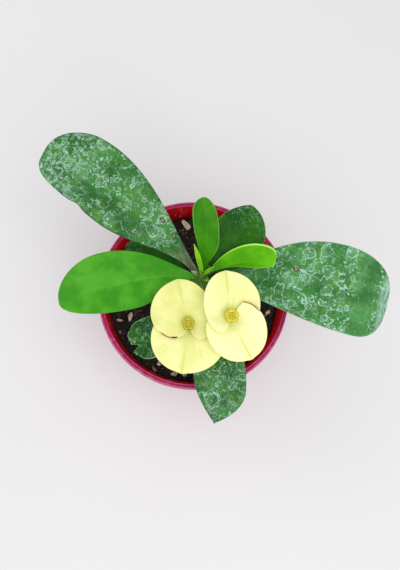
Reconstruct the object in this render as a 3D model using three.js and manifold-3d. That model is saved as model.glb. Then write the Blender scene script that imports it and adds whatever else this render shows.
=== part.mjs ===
// A small crown-of-thorns euphorbia in a nursery pot. Millimetres, +Z up.
// The origin is the middle of the pot's flat underside, and the plant faces -Y.
import * as THREE from 'three';
import { mergeVertices } from 'three/addons/utils/BufferGeometryUtils.js';
import Module from 'manifold-3d';

const wasm = await Module();
wasm.setup();

// Gaps kept between pieces that touch on the real plant
const seatGap = 0.3;

// Pot
const potHeight = 62.4;
const potRimDiameter = 75;
const potBaseDiameter = 54;
const potWall = 1.0;
const potFloor = 1.4;
const lipWidth = 1.7;
const collarHeight = 3.6;
const collarFlare = 0.3;
const collarWall = 0.8;
const potEdge = 0.4;
const potSegments = 60;
const drainHoleDiameter = 5;
const drainHoleCount = 5;
const drainHoleInset = 8;

// Potting mix, heaped a little higher on the right
const soilDrop = 12;
const soilBump = 0.7;
const soilSlope = 0.035;
const soilShoulder = 4;
const soilSegments = 44;

// Stem
const stemHeight = 39.6;
const stemFootRadius = 3.6;
const stemTipRadius = 2.7;
const stemLeanX = 1.5;
const stemLeanY = 1.0;
const stemKnuckle = 0.12;
const rootDepth = 9;
const spineLength = 6;
const spineRadius = 0.75;
const spineRows = 7;
const spineFirst = 3;
const spineStep = 2.3;
const spinePairTurn = 22;
const spineLift = 12;
const spiralTurn = 137.5;

// Leaves: the round of the valley along the midrib, and the least half width at a pointed tip
const foldRound = 0.02;
const leafPoint = 0.15;

// Flowers
const stalkRadius = 0.7;
const stalkBelowTip = 5.5;
const forkReach = 10.5;
const forkRise = 3.5;
const flowerRise = 6;
const flowerSpread = 13.7;
const bractThickness = 0.6;
const bractRise = 5;
const bractDroop = 3;
const bractReference = 16;
const bractSpreadBy = 5;
const mucroLength = 0.5;
const mucroTurn = 0.06;
const cupFootRadius = 1.1;
const cupRimRadius = 2.0;
const cupHeight = 4.2;
const cupFoot = -0.6;
const glandCount = 5;
const glandRadius = 0.72;

const soilTop = potHeight - soilDrop;
const lipOuterRadius = potRimDiameter / 2 - collarFlare;
const lipInnerRadius = lipOuterRadius - lipWidth;
const innerFloorRadius = potBaseDiameter / 2 - potWall;
const cupWaist = cupHeight * 0.45;

const radians = THREE.MathUtils.degToRad;
const plant = new THREE.Group();

function finish(color, roughness) {
  return new THREE.MeshStandardMaterial({ color, roughness, metalness: 0 });
}

const potPlastic = finish(0xb23a63, 0.4);
const soilMix = finish(0x2a1d16, 0.95);
const bark = finish(0x6d6350, 0.85);
const oldLeaf = finish(0x457f4a, 0.5);
const brightLeaf = finish(0x4f9f2c, 0.4);
const youngLeaf = finish(0x6cbf1c, 0.4);
const stalkGreen = finish(0x8fae55, 0.5);
const paleBract = finish(0xf7f6a2, 0.6);
const nectar = finish(0xd8c52c, 0.3);
const woodChip = finish(0xb59a72, 0.9);
const stoneGrit = finish(0xcbbfae, 0.8);

function place(name, geometry, material, parent = plant) {
  const mesh = new THREE.Mesh(geometry, material);
  mesh.name = name;
  parent.add(mesh);
  return mesh;
}

// Closed geometry with shared corners, as a solid for joining and cutting
function solid(geometry) {
  const bare = geometry.clone();
  bare.deleteAttribute('normal');
  bare.deleteAttribute('uv');
  const merged = mergeVertices(bare, 1e-4);
  const vertProperties = new Float32Array(merged.attributes.position.array);
  const triVerts = new Uint32Array(merged.index.array);
  return new wasm.Manifold(new wasm.Mesh({ numProp: 3, vertProperties, triVerts }));
}

function fromSolid(body) {
  const mesh = body.getMesh();
  const geometry = new THREE.BufferGeometry();
  geometry.setAttribute('position', new THREE.BufferAttribute(new Float32Array(mesh.vertProperties), 3));
  geometry.setIndex(new THREE.BufferAttribute(new Uint32Array(mesh.triVerts), 1));
  geometry.computeVertexNormals();
  return geometry;
}

// A closed profile of [radius, height] pairs turned about Z
function turned(profile, segments) {
  const points = profile.map(([radius, height]) => new THREE.Vector2(radius, height));
  const geometry = new THREE.LatheGeometry(points, segments);
  geometry.rotateX(Math.PI / 2);
  return geometry;
}

function tube(points, radius, steps) {
  const outline = new THREE.Shape();
  outline.absarc(0, 0, radius, 0, Math.PI * 2);
  const extrudePath = new THREE.CatmullRomCurve3(points);
  return new THREE.ExtrudeGeometry(outline, { steps, curveSegments: 4, extrudePath });
}

// Moves every corner of a geometry by a function of its own place
function reshape(geometry, move) {
  const corners = geometry.attributes.position;
  const point = new THREE.Vector3();
  for (let i = 0; i < corners.count; i += 1) {
    point.fromBufferAttribute(corners, i);
    const moved = move(point);
    corners.setXYZ(i, moved.x, moved.y, moved.z);
  }
  return geometry;
}

// Pot: thin drafted wall, a down-turned collar round the rim, drain holes in the floor
function innerRadiusAt(height) {
  const share = (height - potFloor) / (potHeight - potFloor);
  return THREE.MathUtils.lerp(innerFloorRadius, lipInnerRadius, share);
}

function makePot() {
  const rimRadius = potRimDiameter / 2;
  const collarFoot = potHeight - collarHeight;
  const underLip = potHeight - potWall;
  const profile = [
    [0, potFloor],
    [innerFloorRadius - potEdge, potFloor],
    [innerRadiusAt(potFloor + potEdge), potFloor + potEdge],
    [innerRadiusAt(soilTop), soilTop],
    [lipInnerRadius, potHeight - potEdge],
    [lipInnerRadius + potEdge, potHeight],
    [lipOuterRadius - potEdge, potHeight],
    [lipOuterRadius, potHeight - potEdge],
    [rimRadius, collarFoot + potEdge],
    [rimRadius - potEdge, collarFoot],
    [rimRadius - collarWall, collarFoot],
    [innerRadiusAt(underLip) + potWall + potEdge / 2, underLip],
    [innerRadiusAt(underLip) + potWall, underLip - potEdge],
    [innerRadiusAt(collarFoot) + potWall, collarFoot],
    [potBaseDiameter / 2, potEdge],
    [potBaseDiameter / 2 - potEdge, 0],
    [0, 0],
  ];
  let pot = solid(turned(profile.reverse(), potSegments));
  const ringRadius = potBaseDiameter / 2 - drainHoleInset;
  for (let i = 0; i < drainHoleCount; i += 1) {
    const turn = (i * 2 * Math.PI) / drainHoleCount;
    const drill = new THREE.CylinderGeometry(drainHoleDiameter / 2, drainHoleDiameter / 2, potFloor * 4, 16);
    drill.rotateX(Math.PI / 2);
    drill.translate(ringRadius * Math.cos(turn), ringRadius * Math.sin(turn), potFloor / 2);
    pot = pot.subtract(solid(drill));
  }
  place('pot', fromSolid(pot), potPlastic);
}

// Potting mix: fills the pot to below the rim, with a pocket for the root neck
function soilHeightAt(x, y) {
  const reach = Math.hypot(x, y);
  const fade = THREE.MathUtils.smoothstep(reach, stemFootRadius + 1, stemFootRadius + 6);
  const lumps = Math.sin(x * 0.42 + 1.3) * Math.cos(y * 0.37) + 0.6 * Math.sin(x * 0.9 - y * 0.75);
  return soilTop + soilSlope * x + soilBump * fade * lumps;
}

function makeSoil() {
  const pocketRadius = stemFootRadius + seatGap;
  const pocketFloor = soilTop - rootDepth - seatGap;
  const wallRadius = innerRadiusAt(soilTop - soilShoulder) - seatGap;
  const topSteps = 9;
  const profile = [
    [0, potFloor + seatGap],
    [innerFloorRadius - seatGap - potEdge, potFloor + seatGap],
    [wallRadius, soilTop - soilShoulder],
  ];
  for (let i = 0; i <= topSteps; i += 1) {
    profile.push([THREE.MathUtils.lerp(wallRadius, pocketRadius, i / topSteps), soilTop]);
  }
  profile.push([pocketRadius, pocketFloor]);
  profile.push([0, pocketFloor]);
  const soil = reshape(turned(profile, soilSegments), (point) => {
    if (point.z > soilTop - 0.01) {
      point.z = soilHeightAt(point.x, point.y);
    }
    return point;
  });
  place('soil', soil, soilMix);
}

// Stem: tapered, leaning a little, set with sharp spines below the leaves
function stemShare(height) {
  return (height - soilTop) / stemHeight;
}

function stemAxisAt(height) {
  const share = stemShare(height);
  return new THREE.Vector3(stemLeanX * share, stemLeanY * share, height);
}

function stemRadiusAt(height) {
  return THREE.MathUtils.lerp(stemFootRadius, stemTipRadius, Math.max(0, stemShare(height)));
}

function makeStem() {
  const tip = soilTop + stemHeight;
  const rootFoot = soilTop - rootDepth;
  const rings = 9;
  const profile = [[0, rootFoot], [stemFootRadius * 0.8, rootFoot], [stemFootRadius, rootFoot + 2]];
  for (let i = 0; i <= rings; i += 1) {
    const height = THREE.MathUtils.lerp(soilTop, tip - 1.2, i / rings);
    const knuckle = i % 2 === 1 ? stemKnuckle : 0;
    profile.push([stemRadiusAt(height) + knuckle, height]);
  }
  profile.push([stemTipRadius * 0.7, tip - 0.3]);
  profile.push([0, tip]);
  let stem = solid(reshape(turned(profile, 16), (point) => {
    const axis = stemAxisAt(Math.max(point.z, soilTop));
    return new THREE.Vector3(point.x + axis.x, point.y + axis.y, point.z);
  }));
  for (let row = 0; row < spineRows; row += 1) {
    const height = soilTop + spineFirst + row * spineStep;
    for (const side of [-1, 1]) {
      const turn = radians(row * spiralTurn + side * spinePairTurn);
      const spine = new THREE.ConeGeometry(spineRadius, spineLength + spineRadius, 6);
      spine.rotateZ(-Math.PI / 2);
      spine.rotateY(-radians(spineLift));
      spine.translate(stemRadiusAt(height) + spineLength / 2 - spineRadius, 0, 0);
      spine.rotateZ(turn);
      const axis = stemAxisAt(height);
      spine.translate(axis.x, axis.y, height);
      stem = stem.add(solid(spine));
    }
  }
  place('stem', fromSolid(stem), bark);
}

// Leaves
// below: how far the leaf joins the stem under its tip. heading and sway: the way it points in plan
// and how much that turns by its tip. rise and droop: its slope at the stem and the slope lost by the tip.
// left and right: half widths. widest: where the blade is widest, and skew: how much later on the right.
// flare, full and blunt: how it opens from the neck, how full it stays and how round its tip is.
// waveAt and wave: where the left margin dips and by what share. tip and notch: a cut end and its bite.
const dipWidth = 0.05;
const notchWidth = 0.3;
const plainLeaf = {
  neck: 1.1, flare: 1.5, full: 2.2, blunt: 0.5, widest: 0.6, skew: 0, sway: 0, droopLate: 1,
  fold: 0.15, foldRight: 0, tip: leafPoint, notch: 0, notchAt: 0, waveAt: 0.7, wave: 0,
  thickness: 0.9, along: 12, across: 4,
};

const leaves = {
  leaf_left_large: {
    below: 6, heading: 128, sway: 28, length: 69, left: 12.3, right: 14.2, rise: 22, droop: 30,
    widest: 0.66, skew: 0.12, flare: 1.7, full: 1.6, blunt: 0.37, wave: 0.04, along: 16, across: 6,
    material: oldLeaf,
  },
  leaf_right_large: {
    below: 9.6, heading: -1, sway: -19, length: 65.5, left: 14.8, right: 16.4, rise: 22, droop: 45,
    droopLate: 2, widest: 0.73, skew: 0.07, flare: 1.25, full: 2.3, blunt: 0.43, along: 16, across: 6,
    material: oldLeaf,
  },
  leaf_left_bright: {
    below: 3, heading: 180, sway: 25, length: 47.5, left: 9.8, right: 11.8, rise: 18, droop: 22,
    widest: 0.57, skew: 0.07, flare: 1.2, full: 1.95, blunt: 0.58, along: 14, across: 6,
    material: brightLeaf,
  },
  leaf_back_young: {
    below: 1.2, heading: 79, sway: 23, length: 25, left: 4.6, right: 4.3, rise: 48, droop: 26,
    widest: 0.55, skew: -0.16, flare: 1.45, full: 3.3, blunt: 0.56, thickness: 0.7,
    material: brightLeaf,
  },
  leaf_back_dark: {
    below: 5.8, heading: 37, sway: 35.5, length: 29.2, left: 9.4, right: 9.7, rise: 22, droop: 22,
    widest: 0.52, skew: -0.03, full: 2.15, blunt: 0.71,
    material: oldLeaf,
  },
  leaf_right_young: {
    below: 2, crown: 3.6, heading: 21, sway: -45, length: 24, left: 7.2, right: 3.4, rise: 30, droop: 26,
    widest: 0.71, flare: 1, full: 3, blunt: 1, foldRight: 1.9, neck: 0.8, thickness: 0.6,
    material: youngLeaf,
  },
  leaf_front_spotted: {
    below: 14, heading: 289.5, sway: -34, length: 50, left: 9.3, right: 9.6, rise: 22, droop: 52,
    widest: 0.69, skew: -0.06, flare: 0.8, full: 1.75, blunt: 1,
    material: oldLeaf,
  },
  leaf_front_small: {
    below: 10.5, heading: 283, length: 34, left: 5.6, right: 4.6, rise: 24, droop: 34,
    widest: 0.7, blunt: 0.8,
    material: oldLeaf,
  },
  leaf_low_notched: {
    below: 21, heading: 234.5, sway: -35, length: 30, left: 8.4, right: 6.8, rise: 8, droop: 18,
    widest: 0.8, flare: 2.3, full: 1.8, blunt: 0.35, tip: 4.6, notch: 2.4, notchAt: 0.35, across: 8,
    material: oldLeaf,
  },
  leaf_left_shaded: {
    below: 12, heading: 152, length: 26.5, left: 5.4, right: 5.4, rise: 16, droop: 20,
    widest: 0.62,
    material: oldLeaf,
  },
  leaf_spear: {
    below: -0.3, crown: 1.6, heading: 128, length: 13, left: 0.9, right: 0.9, rise: 66, droop: 8,
    widest: 0.4, neck: 0.7, flare: 1, blunt: 0.9, fold: 0.5, thickness: 0.5, along: 8,
    material: youngLeaf,
  },
  leaf_bud: {
    below: -0.3, crown: 1.2, heading: 20, length: 5, left: 0.8, right: 0.8, rise: 62, droop: 0,
    widest: 0.35, neck: 0.6, flare: 1, blunt: 0.9, fold: 0.4, thickness: 0.5, along: 6,
    material: youngLeaf,
  },
};

function halfWidth(leaf, share, side) {
  const width = side > 0 ? leaf.left : leaf.right;
  const widest = leaf.widest - side * leaf.skew;
  if (share < widest) {
    const open = Math.sin((Math.PI / 2) * (share / widest)) ** leaf.flare;
    return THREE.MathUtils.lerp(leaf.neck, width, open);
  }
  const beyond = (share - widest) / (1 - widest);
  return Math.max(leaf.tip, width * Math.max(0, 1 - beyond ** leaf.full) ** leaf.blunt);
}

// The midrib as a row of places, each with the directions along, across and out of the blade
function growMidrib(leaf, steps) {
  const tip = soilTop + stemHeight;
  const height = tip - leaf.below;
  const start = radians(leaf.heading);
  const tuck = leaf.thickness * 0.5 * Math.sin(radians(leaf.rise));
  const outward = leaf.crown ?? stemRadiusAt(height) + seatGap + stemKnuckle + tuck;
  const point = stemAxisAt(height);
  point.x += outward * Math.cos(start);
  point.y += outward * Math.sin(start);
  const slope = (share) => radians(leaf.rise - leaf.droop * share ** leaf.droopLate);
  const bearing = (share) => radians(leaf.heading + leaf.sway * share);
  const ahead = (share) => new THREE.Vector3(
    Math.cos(slope(share)) * Math.cos(bearing(share)),
    Math.cos(slope(share)) * Math.sin(bearing(share)),
    Math.sin(slope(share)),
  );
  const rows = [];
  let last = 0;
  for (let i = 0; i <= steps; i += 1) {
    const share = Math.sin((Math.PI / 2) * (i / steps));
    point.addScaledVector(ahead((share + last) / 2), leaf.length * (share - last));
    const along = ahead(share);
    const across = new THREE.Vector3(-Math.sin(bearing(share)), Math.cos(bearing(share)), 0);
    const out = new THREE.Vector3().crossVectors(along, across);
    rows.push({ share, at: point.clone(), along, across, out });
    last = share;
  }
  return rows;
}

// A slab bent onto the blade: X of the slab runs along the midrib, Y across it and Z through it
function leafGeometry(leaf) {
  const rows = growMidrib(leaf, leaf.along);
  const slab = new THREE.BoxGeometry(1, 1, 1, leaf.along, leaf.across, 1);
  return reshape(slab, (point) => {
    const row = rows[Math.round((point.x + 0.5) * leaf.along)];
    const v = point.y * 2;
    const dip = v > 0 ? 1 - leaf.wave * Math.exp(-(((row.share - leaf.waveAt) / dipWidth) ** 2)) : 1;
    const half = halfWidth(leaf, row.share, v) * dip;
    const fold = leaf.fold + (v < 0 ? leaf.foldRight * (1 - row.share) : 0);
    const lift = fold * (Math.sqrt(v * v + foldRound) - Math.sqrt(foldRound));
    const flat = Math.cos(Math.atan(fold) * Math.abs(v));
    const back = leaf.notch * Math.exp(-(((v - leaf.notchAt) / notchWidth) ** 2)) * row.share ** 8;
    const thick = leaf.thickness * (1 - 0.5 * v * v);
    const moved = row.at.clone();
    moved.addScaledVector(row.across, half * v * (v < 0 && leaf.foldRight > 0 ? flat : 1));
    moved.addScaledVector(row.out, half * lift + point.z * thick);
    moved.addScaledVector(row.along, -back);
    return moved;
  });
}

function makeLeaves() {
  for (const [name, shape] of Object.entries(leaves)) {
    const leaf = { ...plainLeaf, ...shape };
    place(name, leafGeometry(leaf), leaf.material);
  }
}

// Flowers: a forked stalk, and on each fork a cup of stamens between two broad bracts
// axis: where the bract points in plan. left and right: how far round the cup it reaches, in degrees.
// spanLeft, spanRight and lobe: its breadth on each side and how far its base lobe hangs back.
// lift and ramp: its height over its partner, and how that changes from its right side to its left.
const flowers = {
  left: {
    side: -1, lift: 0, reachY: -8.1, press: 0.2, lean: [-3, -1.5],
    bracts: {
      upper: { axis: 101, length: 15.6, left: 158, right: 165, spanLeft: 1.0, spanRight: 0.6,
        lobeLeft: 1, lobeRight: 1.6, lift: 1.1, ramp: 0 },
      lower: { axis: 260, length: 16.2, left: 118, right: 118, spanLeft: 1.08, spanRight: 0.98,
        lobeLeft: 1, lobeRight: 1, lift: 0, ramp: 0 },
    },
  },
  right: {
    side: 1, lift: 3.6, reachY: -6.5, press: 1.2, lean: [-2, 4],
    bracts: {
      upper: { axis: 92.5, length: 14.7, left: 155, right: 104, spanLeft: 0.86, spanRight: 0.93,
        lobeLeft: 1.4, lobeRight: 1, lift: 0, ramp: 1.4 },
      lower: { axis: 293, length: 15.3, left: 117, right: 112, spanLeft: 0.93, spanRight: 0.93,
        lobeLeft: 1, lobeRight: 1, lift: 0, ramp: 1.4 },
    },
  },
};

const stalkFoot = stemAxisAt(soilTop + stemHeight - stalkBelowTip);
const fork = new THREE.Vector3(stalkFoot.x + 1, stalkFoot.y - forkReach, stalkFoot.z + forkRise);

function flowerFoot(flower) {
  return new THREE.Vector3(
    fork.x + flower.side * (flowerSpread / 2),
    fork.y + flower.reachY,
    fork.z + flowerRise + flower.lift,
  );
}

function bractGeometry(flower, bract) {
  const around = 20;
  const outward = 4;
  const ringRadius = cupFootRadius + 0.4;
  const slab = new THREE.BoxGeometry(1, 1, 1, around, outward, 1);
  return reshape(slab, (point) => {
    const turn = radians(THREE.MathUtils.lerp(bract.left, -bract.right, point.x + 0.5));
    const side = turn > 0;
    const reach = bract.length * Math.cos(turn / 2) ** 1.2;
    const mucro = mucroLength * Math.exp(-((turn / mucroTurn) ** 2));
    const edge = Math.max(ringRadius + 0.4, reach + mucro);
    const radius = THREE.MathUtils.lerp(ringRadius, edge, point.y + 0.5);
    const grown = THREE.MathUtils.smoothstep(radius, ringRadius, bractSpreadBy);
    const span = THREE.MathUtils.lerp(1, side ? bract.spanLeft : bract.spanRight, grown);
    const lobe = THREE.MathUtils.lerp(1, side ? bract.lobeLeft : bract.lobeRight, grown);
    const ahead = radius * Math.cos(turn) * (Math.cos(turn) < 0 ? lobe : 1);
    const aside = radius * Math.sin(turn) * span;
    const axis = radians(bract.axis);
    const x = ahead * Math.cos(axis) - aside * Math.sin(axis);
    const y = ahead * Math.sin(axis) + aside * Math.cos(axis);
    const far = Math.hypot(x, y) / bractReference;
    const inner = Math.max(0, -x * flower.side) / 10;
    const cup = bractRise * far - bractDroop * far * far + flower.press * inner * inner;
    const step = bract.lift + bract.ramp * (turn / radians(160));
    return new THREE.Vector3(x, y, cup + step + point.z * bractThickness);
  });
}

// The cup stands in the middle of the bracts and carries five nectar glands round its mouth
function cupGeometry() {
  const profile = [
    [0, cupFoot],
    [cupFootRadius * 0.8, cupFoot],
    [cupFootRadius, 0],
    [cupFootRadius, cupWaist],
    [cupRimRadius, cupHeight - 0.8],
    [cupRimRadius, cupHeight - 0.2],
    [cupRimRadius - 0.5, cupHeight - 0.2],
    [cupRimRadius - 0.9, cupWaist + 0.9],
    [0, cupWaist + 0.7],
  ];
  let cup = solid(turned(profile, 15));
  for (let i = 0; i < glandCount; i += 1) {
    const turn = (i * 2 * Math.PI) / glandCount;
    const gland = new THREE.SphereGeometry(glandRadius, 6, 4);
    gland.scale(0.75, 1.1, 0.6);
    gland.translate(cupRimRadius + 0.05, 0, cupHeight - 0.35);
    gland.rotateZ(turn);
    cup = cup.add(solid(gland));
  }
  return fromSolid(cup);
}

// Stamens and style stand on one small disc on the cup's floor
function stamenGeometry() {
  const floor = cupWaist + 0.9 + seatGap;
  const pillar = (radius, height, lean, turn) => {
    const stalk = new THREE.CylinderGeometry(radius, radius, height, 5);
    stalk.rotateX(Math.PI / 2);
    stalk.translate(0, 0, height / 2);
    const head = new THREE.SphereGeometry(radius * 1.7, 5, 3);
    head.translate(0, 0, height);
    const both = solid(stalk).add(solid(head));
    return both.rotate([0, lean, turn]).translate([0, 0, floor + 0.1]);
  };
  const disc = turned([[0, floor], [0.5, floor], [0.5, floor + 0.3], [0, floor + 0.3]], 10);
  let tuft = solid(disc).add(pillar(0.22, 1.7, 0, 0));
  for (let i = 0; i < 4; i += 1) {
    tuft = tuft.add(pillar(0.14, 1.35, 24, i * 90 + 30));
  }
  return fromSolid(tuft);
}

function makeFlowers() {
  const clearOfStem = stemRadiusAt(stalkFoot.z) + seatGap + 0.5;
  const foot = stalkFoot.clone().add(new THREE.Vector3(0, -clearOfStem, 0));
  const middle = foot.clone().lerp(fork, 0.5).add(new THREE.Vector3(0, 0, 0.8));
  let stalk = solid(tube([foot, middle, fork], stalkRadius, 8));
  const knot = new THREE.SphereGeometry(stalkRadius * 1.35, 10, 6);
  knot.translate(fork.x, fork.y, fork.z);
  stalk = stalk.add(solid(knot));
  for (const [name, flower] of Object.entries(flowers)) {
    const base = flowerFoot(flower);
    const group = new THREE.Group();
    group.position.copy(base);
    group.rotation.set(radians(flower.lean[0]), radians(flower.lean[1]), 0);
    plant.add(group);
    for (const [level, bract] of Object.entries(flower.bracts)) {
      place(`bract_${name}_${level}`, bractGeometry(flower, bract), paleBract, group);
    }
    place(`cyathium_${name}`, cupGeometry(), nectar, group);
    place(`stamens_${name}`, stamenGeometry(), nectar, group);
    const end = base.clone().add(new THREE.Vector3(0, 0, cupFoot - 2 * seatGap - 0.3));
    const bend = fork.clone().lerp(end, 0.55).add(new THREE.Vector3(0, 0, -0.8));
    stalk = stalk.add(solid(tube([fork.clone(), bend, end], stalkRadius * 0.85, 8)));
  }
  place('flower_stalk', fromSolid(stalk), stalkGreen);
}

// Bark chips and grit lying on the potting mix
const chipBulge = 0.14;
const dressing = {
  bark_chip_back: { at: [-1.2, 30.6], size: [3.0, 1.6, 1.2], turn: -35, material: woodChip },
  bark_chip_left: { at: [-25.8, -6.5], size: [2.6, 1.8, 1.0], turn: 75, material: woodChip },
  grit_left: { at: [-29.6, -8.0], size: [1.9, 0.8, 0.7], turn: -10, material: stoneGrit },
  grit_front_left: { at: [-14.4, -26.0], size: [1.3, 1.1, 0.9], turn: 50, material: stoneGrit },
  grit_front_middle: { at: [-8.5, -30.6], size: [1.7, 1.1, 0.8], turn: 10, material: stoneGrit },
  grit_front_right: { at: [-4.6, -31.0], size: [1.2, 1.1, 0.8], turn: 70, material: stoneGrit },
  grit_right: { at: [30, -7.2], size: [1.4, 1.1, 0.8], turn: 40, material: stoneGrit },
};

function makeDressing() {
  for (const [name, piece] of Object.entries(dressing)) {
    const lump = mergeVertices(new THREE.IcosahedronGeometry(1, 1));
    const rough = reshape(lump, (point) => {
      const bulge = chipBulge * Math.sin(point.x * 5 + point.y * 3) * Math.cos(point.z * 4);
      return point.multiplyScalar(1 + bulge);
    });
    rough.scale(...piece.size);
    const mesh = place(name, rough, piece.material);
    const clear = piece.size[2] * (1 + chipBulge) + 2 * seatGap;
    mesh.position.set(...piece.at, soilHeightAt(...piece.at) + clear);
    mesh.rotation.z = radians(piece.turn);
  }
}

makePot();
makeSoil();
makeStem();
makeLeaves();
makeFlowers();
makeDressing();

export default plant;
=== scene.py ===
import bmesh
import bpy
import math
import random
from mathutils import Euler, Matrix, Vector, noise


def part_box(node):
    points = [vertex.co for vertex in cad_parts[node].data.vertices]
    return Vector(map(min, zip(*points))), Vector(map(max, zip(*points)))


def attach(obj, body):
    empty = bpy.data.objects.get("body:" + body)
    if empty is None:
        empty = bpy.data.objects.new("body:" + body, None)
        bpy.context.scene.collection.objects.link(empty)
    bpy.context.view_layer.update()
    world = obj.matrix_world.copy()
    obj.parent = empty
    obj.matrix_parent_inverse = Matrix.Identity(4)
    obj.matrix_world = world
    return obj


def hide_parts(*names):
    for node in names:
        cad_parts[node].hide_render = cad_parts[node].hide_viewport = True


# A crown-of-thorns euphorbia in a magenta nursery pot.
# Shapes are worked out in millimetres and stored in metres.

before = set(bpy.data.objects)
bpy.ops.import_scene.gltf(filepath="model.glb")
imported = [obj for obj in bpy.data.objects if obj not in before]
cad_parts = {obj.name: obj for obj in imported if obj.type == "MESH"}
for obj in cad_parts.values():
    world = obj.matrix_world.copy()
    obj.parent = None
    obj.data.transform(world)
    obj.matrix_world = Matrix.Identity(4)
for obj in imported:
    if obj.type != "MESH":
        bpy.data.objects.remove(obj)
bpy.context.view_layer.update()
mm = 0.001
pieceNames = []


def boxOf(node):
    low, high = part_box(node)
    return Vector(low) / mm, Vector(high) / mm


def middleOf(node):
    low, high = boxOf(node)
    return (low + high) / 2


def tone(red, green, blue):
    # screen colour 0-255 to the renderer's own
    shares = (part / 255 for part in (red, green, blue))
    return tuple(s / 12.92 if s <= 0.04045 else ((s + 0.055) / 1.055) ** 2.4 for s in shares) + (1.0,)


def smooth(low, high, value):
    share = min(1, max(0, (value - low) / (high - low)))
    return share * share * (3 - 2 * share)


def lerp(a, b, share):
    return a + (b - a) * share


def onRing(radius, turn, height=0):
    return radius * math.cos(turn), radius * math.sin(turn), height


def hill(value, middle, width):
    return math.exp(-((value - middle) / width) ** 2)


def makePiece(name, points, faces, material, stands=(), marks=None):
    mesh = bpy.data.meshes.new(name)
    mesh.from_pydata([tuple(part * mm for part in point) for point in points], [], faces)
    mesh.update()
    for mark, values in (marks or {}).items():
        layer = mesh.attributes.new(mark, "FLOAT_VECTOR", "POINT")
        layer.data.foreach_set("vector", [part for value in values for part in value])
    mesh.polygons.foreach_set("use_smooth", [True] * len(mesh.polygons))
    mesh.materials.append(material)
    piece = bpy.data.objects.new(name, mesh)
    bpy.context.scene.collection.objects.link(piece)
    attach(piece, "root")
    if stands:
        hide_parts(*stands)
    pieceNames.append(name)
    return piece


def shapedMesh(piece):
    # what the modifiers make becomes the mesh itself
    shaped = bpy.data.meshes.new_from_object(piece.evaluated_get(bpy.context.evaluated_depsgraph_get()))
    piece.modifiers.clear()
    piece.data = shaped
    return shaped


def shell(rows, columns):
    # faces of a closed slab: one grid of points above, the same grid below, and the rim between
    faces = []
    count = rows * columns
    for i in range(rows - 1):
        for j in range(columns - 1):
            a, d = i * columns + j, i * columns + j + 1
            b, c = a + columns, d + columns
            faces.append((a, b, c, d))
            faces.append((count + d, count + c, count + b, count + a))
        a, b = i * columns, (i + 1) * columns
        faces.append((a, count + a, count + b, b))
        a, b = a + columns - 1, b + columns - 1
        faces.append((b, count + b, count + a, a))
    for j in range(columns - 1):
        faces.append((j + 1, count + j + 1, count + j, j))
        a = (rows - 1) * columns + j
        faces.append((a, count + a, count + a + 1, a + 1))
    return faces


def tubeFaces(start, rings, sides):
    # walls between rings of points, and a cap at each end
    faces = []
    for i in range(rings):
        for k in range(sides):
            a, b = start + i * sides + k, start + i * sides + (k + 1) % sides
            faces.append((a, b, b + sides, a + sides))
    faces.append(tuple(start + k for k in reversed(range(sides))))
    faces.append(tuple(start + rings * sides + k for k in range(sides)))
    return faces


def newMaterial(name):
    material = bpy.data.materials.new(name)
    material.use_nodes = True
    return material, material.node_tree, material.node_tree.nodes["Principled BSDF"]


def feed(tree, socket, value):
    if isinstance(value, bpy.types.NodeSocket):
        tree.links.new(value, socket)
    else:
        socket.default_value = value


def addNode(tree, kind, **settings):
    made = tree.nodes.new("ShaderNode" + kind)
    for key, value in settings.items():
        setattr(made, key, value)
    return made


def calc(tree, way, a, b=0.0, clamp=False):
    made = addNode(tree, "Math", operation=way, use_clamp=clamp)
    feed(tree, made.inputs[0], a)
    feed(tree, made.inputs[1], b)
    return made.outputs[0]


def apart(tree, a, b):
    return calc(tree, "ABSOLUTE", calc(tree, "SUBTRACT", a, b))


def times(tree, *values):
    made = values[0]
    for value in values[1:]:
        made = calc(tree, "MULTIPLY", made, value)
    return made


def most(tree, *values):
    made = values[0]
    for value in values[1:]:
        made = calc(tree, "MAXIMUM", made, value)
    return made


def between(tree, value, low, high, least=0.0, top=1.0):
    made = addNode(tree, "MapRange", interpolation_type="SMOOTHSTEP")
    for socket, part in zip(made.inputs, (value, low, high, least, top)):
        feed(tree, socket, part)
    return made.outputs[0]


def blend(tree, share, a, b):
    made = addNode(tree, "Mix", data_type="RGBA")
    feed(tree, made.inputs[0], share)
    feed(tree, made.inputs[6], a)
    feed(tree, made.inputs[7], b)
    return made.outputs[2]


def vectorCalc(tree, way, a, b=(0.0, 0.0, 0.0)):
    made = addNode(tree, "VectorMath", operation=way)
    feed(tree, made.inputs[0], a)
    feed(tree, made.inputs[1], b)
    return made.outputs["Value"] if way in ("DISTANCE", "LENGTH") else made.outputs[0]


def stretch(tree, place, factors):
    return vectorCalc(tree, "MULTIPLY", place, factors)


def cloud(tree, place, scale, detail=3.0, rough=0.5, tinted=False):
    made = addNode(tree, "TexNoise")
    feed(tree, made.inputs["Vector"], place)
    feed(tree, made.inputs["Scale"], scale)
    feed(tree, made.inputs["Detail"], detail)
    feed(tree, made.inputs["Roughness"], rough)
    return made.outputs[1 if tinted else 0]


def cells(tree, place, scale):
    made = addNode(tree, "TexVoronoi")
    feed(tree, made.inputs["Vector"], place)
    feed(tree, made.inputs["Scale"], scale)
    return made


def mark(tree, name):
    return addNode(tree, "Attribute", attribute_name=name).outputs["Vector"]


def parts(tree, vector):
    made = addNode(tree, "SeparateXYZ")
    feed(tree, made.inputs[0], vector)
    return made.outputs


def objectPlace(tree):
    return addNode(tree, "TexCoord").outputs["Object"]


def coat(tree, shader, body, rough):
    feed(tree, shader.inputs["Base Color"], body)
    feed(tree, shader.inputs["Roughness"], rough)


def glowThrough(shader, weight, reach):
    shader.inputs["Subsurface Weight"].default_value = weight
    shader.inputs["Subsurface Radius"].default_value = [part * mm for part in reach]


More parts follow.
